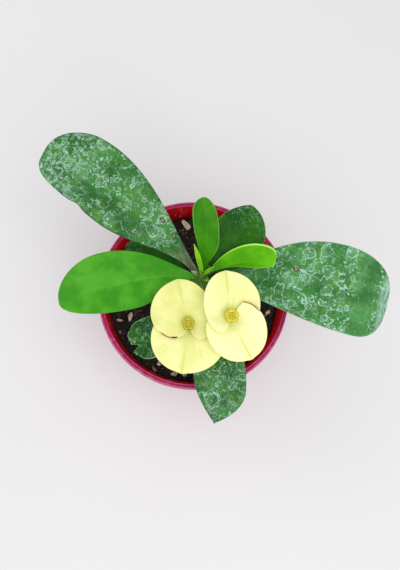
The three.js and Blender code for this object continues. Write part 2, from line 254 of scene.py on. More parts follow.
def relief(tree, shader, height, strength, depth):
    made = addNode(tree, "Bump")
    feed(tree, made.inputs["Height"], height)
    made.inputs["Strength"].default_value = strength
    made.inputs["Distance"].default_value = depth * mm
    tree.links.new(made.outputs[0], shader.inputs["Normal"])


view = {
    "aim": (2.4, 3.0, 62), "distance": 248.7, "tilt": 12.74, "bearing": 250.85, "roll": 17.0,
    "lens": 40, "sensor": 36, "nearest": 0.01, "farthest": 20,
}


def makeCamera():
    tilt, bearing, roll = (math.radians(view[key]) for key in ("tilt", "bearing", "roll"))
    side = Vector((math.cos(bearing), math.sin(bearing), 0))
    back = side * math.sin(tilt) + Vector((0, 0, math.cos(tilt)))
    up = (back * side.dot(back) - side).normalized()
    right = up.cross(back)
    rightTurned = right * math.cos(roll) + up * math.sin(roll)
    upTurned = up * math.cos(roll) - right * math.sin(roll)
    camera = bpy.data.objects.new("camera", bpy.data.cameras.new("camera"))
    bpy.context.scene.collection.objects.link(camera)
    turn = Matrix((rightTurned, upTurned, back)).transposed()
    place = (Vector(view["aim"]) + back * view["distance"]) * mm
    camera.matrix_world = Matrix.Translation(place) @ turn.to_4x4()
    camera.data.lens = view["lens"]
    camera.data.sensor_width = view["sensor"]
    camera.data.clip_start = view["nearest"]
    camera.data.clip_end = view["farthest"]
    bpy.context.scene.camera = camera


studio = {
    "floor": (tone(223, 223, 224), tone(230, 230, 231)), "floorSize": 3000, "floorRough": 0.9,
    "sky": (1.0, 1.0, 1.0, 1), "skyStrength": 0.72,
    "keyPlace": (60, -220, 600), "keySize": 560, "keyPower": 1.85,
    "fillPlace": (-320, 260, 420), "fillSize": 500, "fillPower": 0.4,
    "aim": (0, 0, 70),
}


def makeLamp(name, place, size, power):
    data = bpy.data.lights.new(name, "AREA")
    data.shape = "DISK"
    data.size = size * mm
    data.energy = power
    lamp = bpy.data.objects.new(name, data)
    lamp.location = Vector(place) * mm
    aim = Vector(studio["aim"]) * mm - lamp.location
    lamp.rotation_euler = aim.to_track_quat("-Z", "Y").to_euler()
    bpy.context.scene.collection.objects.link(lamp)


def makeStudio():
    scene = bpy.context.scene
    scene.view_settings.view_transform = "Standard"
    world = bpy.data.worlds.new("sky")
    scene.world = world
    world.use_nodes = True
    back = world.node_tree.nodes["Background"]
    back.inputs[0].default_value = studio["sky"]
    back.inputs[1].default_value = studio["skyStrength"]
    makeLamp("keyLight", studio["keyPlace"], studio["keySize"], studio["keyPower"])
    makeLamp("fillLight", studio["fillPlace"], studio["fillSize"], studio["fillPower"])
    half = studio["floorSize"] / 2 * mm
    mesh = bpy.data.meshes.new("floor")
    corners = [(-half, -half, 0), (half, -half, 0), (half, half, 0), (-half, half, 0)]
    mesh.from_pydata(corners, [], [(0, 1, 2, 3)])
    material, tree, shader = newMaterial("floorPaper")
    patch = cloud(tree, objectPlace(tree), 6.0, 2.0)
    coat(tree, shader, blend(tree, patch, *studio["floor"]), studio["floorRough"])
    mesh.materials.append(material)
    floor = bpy.data.objects.new("floor", mesh)
    scene.collection.objects.link(floor)


makeCamera()
makeStudio()
print("camera, light and floor are set")


potLow, potHigh = boxOf("pot")
potTop = potHigh.z
rimRadius = (potHigh.x - potLow.x) / 2
soilDrop = 12    # from the lip down to the mix
soilTop = potTop - soilDrop

pot = {
    "segments": 180, "wall": 1.0, "floor": 1.4, "baseRadius": 27, "lip": 1.7, "flare": 0.3, "collar": 3.6,
    "skirt": 0.8, "bead": 0.7, "groove": 0.4, "soften": 0.4,
    "drains": 5, "drainRadius": 2.5, "drainRing": 19, "drainSides": 32, "cutDepth": 8, "crisp": 50,
    "magenta": tone(186, 32, 100), "deep": tone(164, 22, 82), "insideGlow": tone(255, 0, 22),
    "insideGlowDeep": tone(232, 2, 30), "wornHighlight": tone(238, 120, 178), "dust": tone(150, 96, 84),
    "shadeNearMix": tone(58, 4, 14),
}


def innerRadiusAt(height):
    inner = rimRadius - pot["flare"] - pot["lip"]
    return lerp(pot["baseRadius"] - pot["wall"], inner, (height - pot["floor"]) / (potTop - pot["floor"]))


def rounded(corners, cut, steps=4):
    # a profile whose corners are cut to small arcs
    path = []
    for i, (radius, height, soft) in enumerate(corners):
        here = Vector((radius, height))
        if i in (0, len(corners) - 1) or soft == 0:
            path.append(here)
            continue
        before = Vector(corners[i - 1][:2])
        after = Vector(corners[i + 1][:2])
        inward = (before - here).normalized() * min(cut * soft, (before - here).length / 2)
        onward = (after - here).normalized() * min(cut * soft, (after - here).length / 2)
        for k in range(steps + 1):
            t = k / steps
            path.append((here + inward) * (1 - t) ** 2 + here * 2 * t * (1 - t) + (here + onward) * t * t)
    return path


def potMaterial():
    material, tree, shader = newMaterial("potPlastic")
    place = objectPlace(tree)
    where = parts(tree, mark(tree, "potMark"))    # inside wall, lip, nearness of the mix
    mottled = cloud(tree, place, 90.0, 4.0, 0.6)
    patch = between(tree, mottled, 0.3, 0.7)
    body = blend(tree, patch, pot["magenta"], pot["deep"])
    # the inside wall is painted crimson and brighter than the outside: a painted glow of light through the
    # thin plastic and of red light bounced round the inside, mottled by noise
    body = blend(tree, where[0], body, blend(tree, patch, pot["insideGlow"], pot["insideGlowDeep"]))
    # painted shade darkens the inside wall low down near the mix, the lip is paler, and there is dust in
    # spots
    body = blend(tree, calc(tree, "MULTIPLY", where[2], 0.85), body, pot["shadeNearMix"])
    # the paler pink on the lip is partly rubbed wear and partly a painted highlight, broken up by noise
    wearAndHighlight = between(tree, cloud(tree, place, 420.0, 5.0, 0.7), 0.5, 0.72, 0.1, 1.0)
    body = blend(tree, times(tree, wearAndHighlight, where[1], 0.75), body, pot["wornHighlight"])
    dirt = between(tree, cloud(tree, place, 260.0, 6.0, 0.75), 0.6, 0.7)
    body = blend(tree, times(tree, dirt, where[0], 0.5), body, pot["dust"])
    scuff = cloud(tree, place, 700.0, 3.0, 0.6)
    coat(tree, shader, body, between(tree, scuff, 0.2, 0.8, 0.24, 0.4))
    relief(tree, shader, scuff, 0.12, 0.12)
    return material


def potProfile():
    # from the middle of the floor up the inside, over the lip and down the outside
    foot = potTop - pot["collar"]
    lipOut = rimRadius - pot["flare"]
    lipIn = lipOut - pot["lip"]
    under = potTop - pot["wall"]
    low = potTop - 0.25
    valley = potTop - pot["groove"] - 0.25
    return rounded([
        (0, pot["floor"], 0),
        (pot["baseRadius"] - pot["wall"], pot["floor"], 3),
        (innerRadiusAt(soilTop), soilTop, 0),
        (lipIn, potTop - 1.2, 0.5),
        (lipIn, low, 1),
        (lipIn + pot["bead"] * 0.7, low, 0.6),
        (lipIn + pot["bead"] * 0.9, valley, 0.5),
        (lipIn + pot["bead"] * 1.15, valley, 0.5),
        (lipIn + pot["bead"] * 1.4, potTop, 0.8),
        (lipOut, potTop, 1.2),
        (rimRadius, foot + 0.9, 0.6),
        (rimRadius, foot, 0.6),
        (rimRadius - pot["skirt"], foot, 0.5),
        (innerRadiusAt(under) + pot["wall"] + 0.2, under, 0.5),
        (innerRadiusAt(foot) + pot["wall"], foot, 0),
        (pot["baseRadius"] + 0.35, 3.2, 0.8),
        (pot["baseRadius"] - 0.1, 2.6, 0.8),
        (pot["baseRadius"], 0, 0.9),
        (0, 0, 0),
    ], pot["soften"])


def cutDrains(piece):
    cutters = []
    for k in range(pot["drains"]):
        turn = 2 * math.pi * k / pot["drains"]
        place = Vector(onRing(pot["drainRing"], turn)) * mm
        bpy.ops.mesh.primitive_cylinder_add(vertices=pot["drainSides"], radius=pot["drainRadius"] * mm,
                                            depth=pot["cutDepth"] * mm, location=place)
        cutters.append(bpy.context.object)
        cut = piece.modifiers.new("drain", "BOOLEAN")
        cut.operation = "DIFFERENCE"
        cut.object = cutters[-1]
        cut.solver = "EXACT"
    shapedMesh(piece).set_sharp_from_angle(angle=math.radians(pot["crisp"]))
    for cutter in cutters:
        bpy.data.objects.remove(cutter)


def makePot():
    path = potProfile()
    segments = pot["segments"]
    points, faces = [], []
    ring = len(path) - 2
    for k in range(segments):
        turn = 2 * math.pi * k / segments
        for corner in path[1:-1]:
            points.append(onRing(corner.x, turn, corner.y))
    points.append((0, 0, pot["floor"]))
    points.append((0, 0, 0))
    for k in range(segments):
        a, b = k * ring, (k + 1) % segments * ring
        for i in range(ring - 1):
            faces.append((a + i, a + i + 1, b + i + 1, b + i))
        faces.append((len(points) - 2, a, b))
        faces.append((len(points) - 1, b + ring - 1, a + ring - 1))
    piece = makePiece("potShell", points, faces, potMaterial(), ["pot"])
    cutDrains(piece)
    # the marks come after the drains, because the cut drops them
    marks = []
    for corner in piece.data.vertices:
        x, y, z = corner.co / mm
        lip = smooth(potTop - 0.9, potTop - 0.3, z)
        inner = (1 - smooth(innerRadiusAt(z) + 0.3, innerRadiusAt(z) + 0.7, math.hypot(x, y))) * (1 - lip)
        marks.extend((inner, lip, inner * (1 - smooth(soilTop + 1, potTop - 1, z))))
    piece.data.attributes.new("potMark", "FLOAT_VECTOR", "POINT").data.foreach_set("vector", marks)


makePot()
print("pot is made")


soil = {
    "rings": 46, "turns": 150, "bump": 0.7, "slope": 0.035, "grain": 0.6, "bare": (4.6, 9.6),
    "hollow": 1.5, "pocket": 2, "shoulder": 6,
    "bank": 1.1, "bankFrom": (25, 34), "bankRight": 1.4, "bankWay": -25,
    "crumbs": 3000, "crumbSize": (0.16, 0.5), "coarse": 520, "coarseSize": (0.5, 1.3),
    "crumbShape": ((0.6, 1.3), (0.6, 1.2), (0.4, 0.9)), "tanUpTo": 0.11, "whiteFrom": 0.993,
    "clinging": 22, "clingWay": (103, 8), "clingSize": (0.18, 0.5),
    "fibres": 280, "fibreSteps": 6, "fibreBend": 1.6, "fibreLength": (1.2, 4.5),
    "fibreThick": (0.05, 0.14),
    "dark": tone(10, 8, 7), "brown": tone(44, 33, 27), "tan": tone(186, 148, 112),
    "white": tone(232, 226, 214),
    "seed": 5,
}


def soilHeightAt(x, y):
    fade = smooth(*soil["bare"], math.hypot(x, y))
    lumps = math.sin(x * 0.42 + 1.3) * math.cos(y * 0.37) + 0.6 * math.sin(x * 0.9 - y * 0.75)
    # the mix is banked against the wall, most of all on the right
    facing = max(0, math.cos(math.atan2(y, x) - math.radians(soil["bankWay"])))
    bank = smooth(*soil["bankFrom"], math.hypot(x, y)) * (soil["bank"] + soil["bankRight"] * facing)
    return soilTop + soil["slope"] * x + soil["bump"] * fade * lumps + bank


def soilMaterial():
    material, tree, shader = newMaterial("pottingMix")
    tint = parts(tree, mark(tree, "tint"))    # tan, white
    grain = cloud(tree, objectPlace(tree), 1500.0, 6.0, 0.7)
    body = blend(tree, between(tree, grain, 0.4, 0.8), soil["dark"], soil["brown"])
    body = blend(tree, tint[0], body, soil["tan"])
    body = blend(tree, tint[1], body, soil["white"])
    coat(tree, shader, body, between(tree, grain, 0.2, 0.8, 0.95, 0.65))
    relief(tree, shader, grain, 0.7, 0.5)
    return material


def lumpShape(level):
    form = bmesh.new()
    bmesh.ops.create_icosphere(form, subdivisions=level, radius=1)
    points = [corner.co.copy() for corner in form.verts]
    faces = [tuple(corner.index for corner in face.verts) for face in form.faces]
    form.free()
    return points, faces


def addLump(store, shape, place, size, turn, seed, rough, tint):
    points, faces = shape
    start = len(store["points"])
    for point in points:
        push = 1 + rough * noise.noise(point * 1.6 + Vector((seed, seed * 0.7, 0)))
        moved = Vector((point.x * size[0], point.y * size[1], point.z * size[2])) * push
        moved.rotate(turn)
        store["points"].append(moved + place)
        store["tint"].append(tint)
    store["faces"].extend(tuple(start + index for index in face) for face in faces)


def spotOnMix(margin):
    radius = math.sqrt(random.uniform(0.015, 1)) * (innerRadiusAt(soilTop) - margin)
    turn = random.uniform(0, 2 * math.pi)
    return radius * math.cos(turn), radius * math.sin(turn)


def makeSoil(material):
    points, faces = [], []
    rings, turns = soil["rings"], soil["turns"]
    edge = innerRadiusAt(soilTop) + 0.1
    for i in range(rings + 1):
        for j in range(turns):
            turn = 2 * math.pi * j / turns
            radius = lerp(soil["hollow"], edge, i / rings)
            x, y = radius * math.cos(turn), radius * math.sin(turn)
            rough = noise.fractal(Vector((x, y, 3)) * 0.55, 0.8, 2.1, 4)
            fine = noise.noise(Vector((x, y, 8)) * 1.9)
            points.append((x, y, soilHeightAt(x, y) + soil["grain"] * (rough + 0.45 * fine)))
    for i in range(rings):
        for j in range(turns):
            k = (j + 1) % turns
            faces.append((i * turns + j, (i + 1) * turns + j, (i + 1) * turns + k, i * turns + k))
    # the mass of the mix goes down to the floor, and the root neck's pocket closes under the surface
    top = (rings + 1) * turns
    under = pot["floor"] + 0.1
    shoulder = soilTop - soil["shoulder"]
    for radius, height in ((innerRadiusAt(shoulder) - 0.1, shoulder), (pot["baseRadius"] - 1.4, under)):
        for j in range(turns):
            turn = 2 * math.pi * j / turns
            points.append(onRing(radius, turn, height))
    for upper, lower in ((rings * turns, top), (top, top + turns)):
        for j in range(turns):
            k = (j + 1) % turns
            faces.append((upper + j, lower + j, lower + k, upper + k))
    points.append((0, 0, soilTop - soil["pocket"]))
    points.append((0, 0, under))
    for j in range(turns):
        k = (j + 1) % turns
        faces.append((j, k, len(points) - 2))
        faces.append((top + turns + k, top + turns + j, len(points) - 1))
    plain = [(0, 0, 0)] * len(points)
    makePiece("pottingMix", points, faces, material, ["soil"], {"tint": plain})


def makeCrumbs(material):
    random.seed(soil["seed"] + 1)
    fine, coarse = lumpShape(1), lumpShape(2)
    store = {"points": [], "faces": [], "tint": []}
    for k in range(soil["crumbs"] + soil["coarse"]):
        big = k < soil["coarse"]
        x, y = spotOnMix(0.7)
        size = random.uniform(*soil["coarseSize" if big else "crumbSize"])
        shape = [size * random.uniform(*spread) for spread in soil["crumbShape"]]
        spin = Euler([random.uniform(0, 6.3) for _ in range(3)])
        pick = random.random()
        tan = random.uniform(0.3, 0.85) if pick < soil["tanUpTo"] else random.uniform(0, 0.08)
        white = 0.75 if pick > soil["whiteFrom"] else 0
        place = Vector((x, y, soilHeightAt(x, y) + size * 0.3))
        addLump(store, coarse if big else fine, place, shape, spin, k * 1.37, 0.6, (tan, white, 0))
    # a few crumbs cling to the wall behind the plant
    for k in range(soil["clinging"]):
        turn = math.radians(random.gauss(*soil["clingWay"]))
        height = random.uniform(soilTop + 3, potTop - 1.2)
        radius = innerRadiusAt(height) - 0.1
        place = Vector(onRing(radius, turn, height))
        size = [random.uniform(*soil["clingSize"]) for _ in range(3)]
        addLump(store, fine, place, size, Euler((0, 0, 0)), k * 3.1, 0.5, (random.uniform(0.05, 0.5), 0, 0))
    marks = {"tint": store["tint"]}
    makePiece("soilCrumbs", store["points"], store["faces"], material, (), marks)


def makeFibres(material):
    random.seed(soil["seed"] + 2)
    points, faces, tint = [], [], []
    steps = soil["fibreSteps"]
    for k in range(soil["fibres"]):
        x, y = spotOnMix(2.5)
        spot = Vector((x, y, 0))
        bearing = random.uniform(0, 2 * math.pi)
        bend = random.uniform(-soil["fibreBend"], soil["fibreBend"])
        length = random.uniform(*soil["fibreLength"])
        thick = random.uniform(*soil["fibreThick"])
        shade = random.uniform(0.1, 0.8)
        start = len(points)
        for i in range(steps + 1):
            along = i / steps
            heading = bearing + bend * along
            spot = spot + Vector((math.cos(heading), math.sin(heading), 0)) * (length / steps)
            height = soilHeightAt(spot.x, spot.y) + 0.4 + 0.35 * math.sin(along * 3 + k)
            side = Vector((-math.sin(heading), math.cos(heading), 0))
            for corner in range(3):
                angle = corner * 2 * math.pi / 3
                point = spot + side * thick * math.cos(angle)
                points.append((point.x, point.y, height + thick * math.sin(angle)))
                tint.append((shade, 0, 0))
        for i in range(steps):
            for corner in range(3):
                a, b = start + i * 3 + corner, start + i * 3 + (corner + 1) % 3
                faces.append((a, a + 3, b + 3, b))
        faces.append((start, start + 1, start + 2))
        end = start + steps * 3
        faces.append((end + 2, end + 1, end))
    makePiece("soilFibres", points, faces, material, (), {"tint": tint})


mixMaterial = soilMaterial()
makeSoil(mixMaterial)
makeCrumbs(mixMaterial)
makeFibres(mixMaterial)
print("potting mix is filled in")


# size is half the length, breadth and height of each bit, and tip is how far it leans
chips = {
    "bark_chip_back": {"size": (2.9, 1.6, 0.8), "turn": -50, "tip": 34, "slot": "wood_chip"},
    "bark_chip_left": {"size": (2.4, 1.4, 0.7), "turn": 75, "tip": 10, "slot": "wood_chip"},
    "grit_left": {"size": (1.9, 0.75, 0.6), "turn": -10, "tip": 6, "slot": "stone_grit"},
    "grit_front_left": {"size": (1.3, 1.0, 0.8), "turn": 50, "tip": 8, "slot": "stone_grit"},
    "grit_front_middle": {"size": (1.6, 1.0, 0.7), "turn": 10, "tip": 8, "slot": "stone_grit"},
    "grit_front_right": {"size": (1.2, 1.0, 0.7), "turn": 70, "tip": 8, "slot": "stone_grit"},
    "grit_right": {"size": (1.4, 1.0, 0.7), "turn": 40, "tip": 12, "slot": "stone_grit"},
}

chipForm = {
    "corners": 13, "bevel": 0.09, "cuts": 2, "rough": 0.09, "seat": 0.35, "crisp": 30, "seed": 41,
    "bark": (tone(255, 236, 206), tone(120, 82, 60)), "grit": (tone(228, 208, 186), tone(140, 108, 90)),
}


def chipMaterial(name, light, dark, stripes):
    material, tree, shader = newMaterial(name)
    place = objectPlace(tree)
    grain = cloud(tree, place, 900.0, 5.0, 0.65)
    if stripes:
        stripe = cloud(tree, stretch(tree, place, (300.0, 2600.0, 2600.0)), 1.0, 4.0)
        grain = calc(tree, "MULTIPLY", grain, calc(tree, "ADD", stripe, 0.5))
    coat(tree, shader, blend(tree, between(tree, grain, 0.28, 0.62), dark, light), 0.85)
    relief(tree, shader, grain, 0.8, 0.4)
    return material


def makeShard(name, chip, material, seed):
    # an angular splinter: the hull of a few scattered corners, its edges worn and its faces pitted
    random.seed(seed)
    form = bmesh.new()
    for _ in range(chipForm["corners"]):
        way = Vector([random.gauss(0, 1) for _ in range(3)]).normalized()
        form.verts.new([way[i] * chip["size"][i] for i in range(3)])
    hull = bmesh.ops.convex_hull(form, input=form.verts[:])
    bmesh.ops.delete(form, geom=hull["geom_interior"], context="VERTS")
    bmesh.ops.bevel(form, geom=form.edges[:], offset=chipForm["bevel"], segments=1, affect="EDGES")
    bmesh.ops.triangulate(form, faces=form.faces[:])
    bmesh.ops.subdivide_edges(form, edges=form.edges[:], cuts=chipForm["cuts"], use_grid_fill=True)
    bmesh.ops.triangulate(form, faces=form.faces[:])
    bmesh.ops.recalc_face_normals(form, faces=form.faces[:])
    form.normal_update()
    form.verts.index_update()
    place = middleOf(name)
    place.z = soilHeightAt(place.x, place.y) + chip["size"][2] + chipForm["seat"]
    lean = Euler((math.radians(chip["tip"]), math.radians(chip["tip"] / 2), math.radians(chip["turn"])))
    points = []
    for corner in form.verts:
        pit = chipForm["rough"] * noise.noise(corner.co * 2.2 + Vector((seed, 0, 0)))
        point = corner.co + corner.normal * pit
        point.rotate(lean)
        points.append(point + place)
    faces = [tuple(corner.index for corner in face.verts) for face in form.faces]
    form.free()
    piece = makePiece(name + "_fine", points, faces, material, [name])
    piece.data.set_sharp_from_angle(angle=math.radians(chipForm["crisp"]))


barkMaterial = chipMaterial("barkChip", *chipForm["bark"], True)
gritMaterial = chipMaterial("gritStone", *chipForm["grit"], False)
for number, (name, chip) in enumerate(chips.items()):
    material = barkMaterial if chip["slot"] == "wood_chip" else gritMaterial
    makeShard(name, chip, material, chipForm["seed"] + number)
print("chips and grit are laid")


stem = {
    "height": 39.6, "foot": 3.6, "tip": 2.7, "lean": (1.5, 1.0), "slimFrom": 9, "slimBy": 0.58, "cap": 1.4,
    "sides": 40, "rings": 130, "root": 4, "turn": 137.5, "scars": 12, "scarFirst": 4, "scarStep": 2.6,
    "scarTurn": 40, "scarNarrow": 3.2 / 1.5, "scarSmall": 1.5, "scarRaised": 0.35,
    "spineRows": 7, "spineLength": 6.4, "spineRadius": 0.75, "spineFirst": 3, "spineStep": 2.3,
    "spinePair": 22, "spineLift": 0.21, "spineSteps": 14, "spineSides": 12,
    "bark": tone(112, 104, 84), "green": tone(86, 128, 40), "scar": tone(74, 60, 46),
    "spine": tone(96, 84, 70),
}
stemTop = soilTop + stem["height"]


def stemAxisAt(height):
    share = (height - soilTop) / stem["height"]
    return Vector((stem["lean"][0] * share, stem["lean"][1] * share, height))


def stemRadiusAt(height):
    return lerp(stem["foot"], stem["tip"], max(0, (height - soilTop) / stem["height"]))


def stemSkinAt(height):
    # the growing tip is slimmer than the woody stem below it
    return stemRadiusAt(height) * (1 - stem["slimBy"] * smooth(stemTop - stem["slimFrom"], stemTop, height))


def stemMaterial():
    material, tree, shader = newMaterial("stemBark")
    kind = parts(tree, mark(tree, "bark"))    # green, scar, spine
    tall = stretch(tree, objectPlace(tree), (1.0, 1.0, 0.35))
    grain = cloud(tree, tall, 1100.0, 6.0, 0.65)
    body = blend(tree, between(tree, grain, 0.35, 0.7), stem["scar"], stem["bark"])
    body = blend(tree, calc(tree, "MULTIPLY", kind[0], 0.95), body, stem["green"])
    body = blend(tree, kind[1], body, stem["scar"])
    body = blend(tree, kind[2], body, stem["spine"])
    coat(tree, shader, body, 0.7)
    relief(tree, shader, grain, 0.6, 0.35)
    return material


def addSpine(points, faces, bark, height, turn):
    # swollen at its foot, then a long sharp point that lifts a little
    steps, sides = stem["spineSteps"], stem["spineSides"]
    outward = Vector(onRing(1, turn))
    across = Vector((-math.sin(turn), math.cos(turn), 0))
    start = len(points)
    for i in range(steps + 1):
        along = i / steps
        reach = stemRadiusAt(height) - 0.7 + along * stem["spineLength"]
        thick = stem["spineRadius"] * ((1 - along) ** 1.15 + 0.35 * hill(along, 0, 0.12)) + 0.012
        lift = Vector((0, 0, stem["spineLift"] * along * stem["spineLength"]))
        centre = stemAxisAt(height) + outward * reach + lift
        for k in range(sides):
            angle = 2 * math.pi * k / sides
            raised = Vector((0, 0, thick * math.sin(angle)))
            points.append(centre + across * thick * math.cos(angle) + raised)
            bark.append((0, 0, smooth(0.02, 0.2, along)))
    faces.extend(tubeFaces(start, steps, sides))


def makeStem():
    points, faces, bark = [], [], []
    sides, rings = stem["sides"], stem["rings"]
    low = soilTop - stem["root"]
    scars = []
    for k in range(stem["scars"]):
        at = soilTop + stem["scarFirst"] + stem["scarStep"] * k
        scars.append((at, math.radians(stem["turn"] * k + stem["scarTurn"])))
    for i in range(rings + 1):
        height = lerp(low, stemTop, i / rings)
        above = max(0, (height - (stemTop - stem["cap"])) / stem["cap"])
        cap = math.sqrt(max(0.0004, 1 - above * above))
        axis = stemAxisAt(max(height, soilTop))
        for j in range(sides):
            turn = 2 * math.pi * j / sides
            scar = 0
            for at, bearing in scars:
                away = math.remainder(turn - bearing, 2 * math.pi) * stem["scarNarrow"]
                scar = max(scar, math.exp(-((height - at) ** 2 + away ** 2) * stem["scarSmall"]))
            grow = 0.14 * noise.noise(Vector((math.cos(turn) * 2, math.sin(turn) * 2, height * 0.4)))
            radius = (stemSkinAt(height) + grow + stem["scarRaised"] * scar) * cap
            points.append((axis.x + radius * math.cos(turn), axis.y + radius * math.sin(turn), height))
            bark.append((smooth(soilTop + 16, stemTop - 7, height), smooth(0.6, 0.95, scar) * 0.8, 0))
    faces.extend(tubeFaces(0, rings, sides))
    for row in range(stem["spineRows"]):
        height = soilTop + stem["spineFirst"] + row * stem["spineStep"]
        for side in (-1, 1):
            turn = math.radians(row * stem["turn"] + side * stem["spinePair"])
            addSpine(points, faces, bark, height, turn)
    makePiece("stemWithSpines", points, faces, stemMaterial(), ["stem"], {"bark": bark})


makeStem()
print("stem is grown")


# below is how far the leaf joins under the stem's tip, heading and sway the way it points and turns,
# rise and droop its slope and how much of it is lost, left and right its half widths, widest where they
# are reached, skew how far apart on the two sides, flare and full how fast it swells and closes in,
# blunt how square its end is, and crown how far from the stem's axis a leaf of the tip starts
plainLeaf = {
    "neck": 1.1, "flare": 1.5, "full": 2.2, "blunt": 0.5, "bluntLeft": None, "widest": 0.6, "skew": 0,
    "sway": 0, "droopLate": 1, "fold": 0.15, "foldRight": 0, "tip": 0.15, "notch": 0, "notchAt": 0,
    "ragged": 0, "wave": 0, "waveAt": 0.7, "waveWidth": 0.04, "thickness": 0.9, "crown": None,
    "rows": 70, "columns": 33, "ripple": 0.25, "groove": 0.16, "node": True,
}

leafForm = {"seat": 0.42, "skin": 0.75, "stout": 0.9, "foot": 0.7}

leaves = {
    "leaf_left_large": {
        "below": 6, "heading": 128, "sway": 28, "length": 69, "left": 12.5, "right": 14.2, "rise": 22,
        "droop": 30, "widest": 0.66, "skew": 0.12, "flare": 1.7, "full": 1.6, "blunt": 0.37, "wave": 0.07,
        "rows": 120, "columns": 53, "look": "limed",
    },
    "leaf_right_large": {
        "below": 9.6, "heading": -1, "sway": -19, "length": 65.5, "left": 14.8, "right": 16.4, "rise": 22,
        "droop": 45, "droopLate": 2, "widest": 0.73, "skew": 0.07, "flare": 1.25, "full": 2.3,
        "blunt": 0.43, "rows": 120, "columns": 53, "look": "webbed",
    },
    "leaf_left_bright": {
        "below": 3, "heading": 180, "sway": 25, "length": 47.5, "left": 9.8, "right": 11.8,
        "rise": 18, "droop": 22, "widest": 0.57, "skew": 0.07, "flare": 1.2, "full": 1.95, "blunt": 0.58,
        "rows": 100, "columns": 45, "look": "bright",
    },
    "leaf_back_young": {
        "below": 1.2, "heading": 79, "sway": 23, "length": 25, "left": 4.6, "right": 4.3, "rise": 48,
        "droop": 26, "widest": 0.55, "skew": -0.16, "flare": 1.45, "full": 3.3, "blunt": 0.56,
        "thickness": 0.7, "look": "fresh",
    },
    "leaf_back_dark": {
        "below": 5.8, "heading": 37, "sway": 35.5, "length": 29.2, "left": 9.4, "right": 9.7, "rise": 22,
        "droop": 22, "widest": 0.52, "skew": -0.03, "full": 2.15, "blunt": 0.71, "look": "deep",
    },
    "leaf_right_young": {
        "below": 2, "crown": 3.6, "heading": 21, "sway": -45, "length": 22.5, "left": 6.8,
        "right": 3.2, "rise": 30, "droop": 26, "widest": 0.66, "skew": -0.12, "flare": 1, "full": 3,
        "blunt": 2, "bluntLeft": 0.27, "foldRight": 1.9, "neck": 0.8, "thickness": 0.6, "look": "vivid",
    },
    "leaf_front_spotted": {
        "below": 14, "heading": 289.5, "sway": -34, "length": 50, "left": 9.3, "right": 9.6, "rise": 22,
        "droop": 52, "widest": 0.69, "skew": -0.06, "flare": 0.8, "full": 1.75, "blunt": 1,
        "look": "dusty",
    },
    "leaf_front_small": {
        "below": 10.5, "heading": 283, "length": 34, "left": 5.6, "right": 4.6, "rise": 24, "droop": 34,
        "widest": 0.7, "blunt": 0.8, "fold": 0.3, "look": "shaded",
    },
    "leaf_low_notched": {
        "below": 21, "heading": 234.5, "sway": -35, "length": 30, "left": 8.4, "right": 6.8, "rise": 8,
        "droop": 18, "widest": 0.8, "flare": 2.3, "full": 1.8, "blunt": 0.35, "tip": 4.6, "notch": 2.6,
        "notchAt": 0.35, "ragged": 0.8, "columns": 49, "look": "shaded",
    },
    "leaf_left_shaded": {
        "below": 12, "heading": 152, "length": 26.5, "left": 5.4, "right": 5.4, "rise": 16, "droop": 20,
        "widest": 0.62, "look": "deep",
    },
    "leaf_spear": {
        "below": -0.3, "crown": 1.2, "heading": 116, "length": 14.2, "left": 0.92, "right": 0.92,
        "rise": 66, "droop": 8, "widest": 0.42, "neck": 0.7, "flare": 1, "blunt": 0.85, "fold": 0.5,
        "thickness": 0.5, "rows": 40, "columns": 17, "look": "spear", "ripple": 0,
    },
    "leaf_bud": {
        "below": 0.2, "crown": 1.0, "heading": 20, "length": 5.6, "left": 0.75, "right": 0.75, "rise": 62,
        "droop": 0, "widest": 0.35, "neck": 0.55, "flare": 1, "blunt": 0.9, "fold": 0.4, "thickness": 0.5,
        "rows": 24, "columns": 13, "look": "spear", "ripple": 0,
    },
    # two small scales that wrap the growing tip
    "crown_scale_left": {
        "below": 2.6, "crown": 1.7, "heading": 168, "length": 4.6, "left": 0.7, "right": 0.7, "rise": 70,
        "droop": 20, "widest": 0.3, "neck": 0.6, "flare": 1, "blunt": 1, "fold": 0.5, "thickness": 0.4,
        "rows": 20, "columns": 13, "look": "scale", "ripple": 0, "node": False,
    },
    "crown_scale_front": {
        "below": 2.4, "crown": 1.7, "heading": 305, "length": 3.6, "left": 0.8, "right": 0.8, "rise": 66,
        "droop": 10, "widest": 0.35, "neck": 0.6, "flare": 1, "blunt": 1, "fold": 0.5, "thickness": 0.4,
        "rows": 20, "columns": 13, "look": "spear", "ripple": 0, "node": False,
    },
}

# how a blade is coloured: its greens, margin, midrib and side veins, then the dried lime on it;
# drops are packed beads at the tip, loops dried puddles, tides long thin lines, specks the finest dots,
# and a scar is given by its place along and across the blade and its half length and breadth
plainLook = {
    "edge": tone(96, 148, 96), "edgeShare": 0.6, "yellow": 0.0, "rib": 0.3, "veins": 0.0, "gloss": 0.4,
    "drops": 0.0, "dropsFrom": 0.8, "loops": 0.0, "tides": 0.0, "specks": 0.0, "film": 0.0, "foot": 0.0,
    "limeFrom": (0.0, 0.1), "clean": None, "sheenFrom": None, "scars": [], "edgeFrom": 0.955,
}

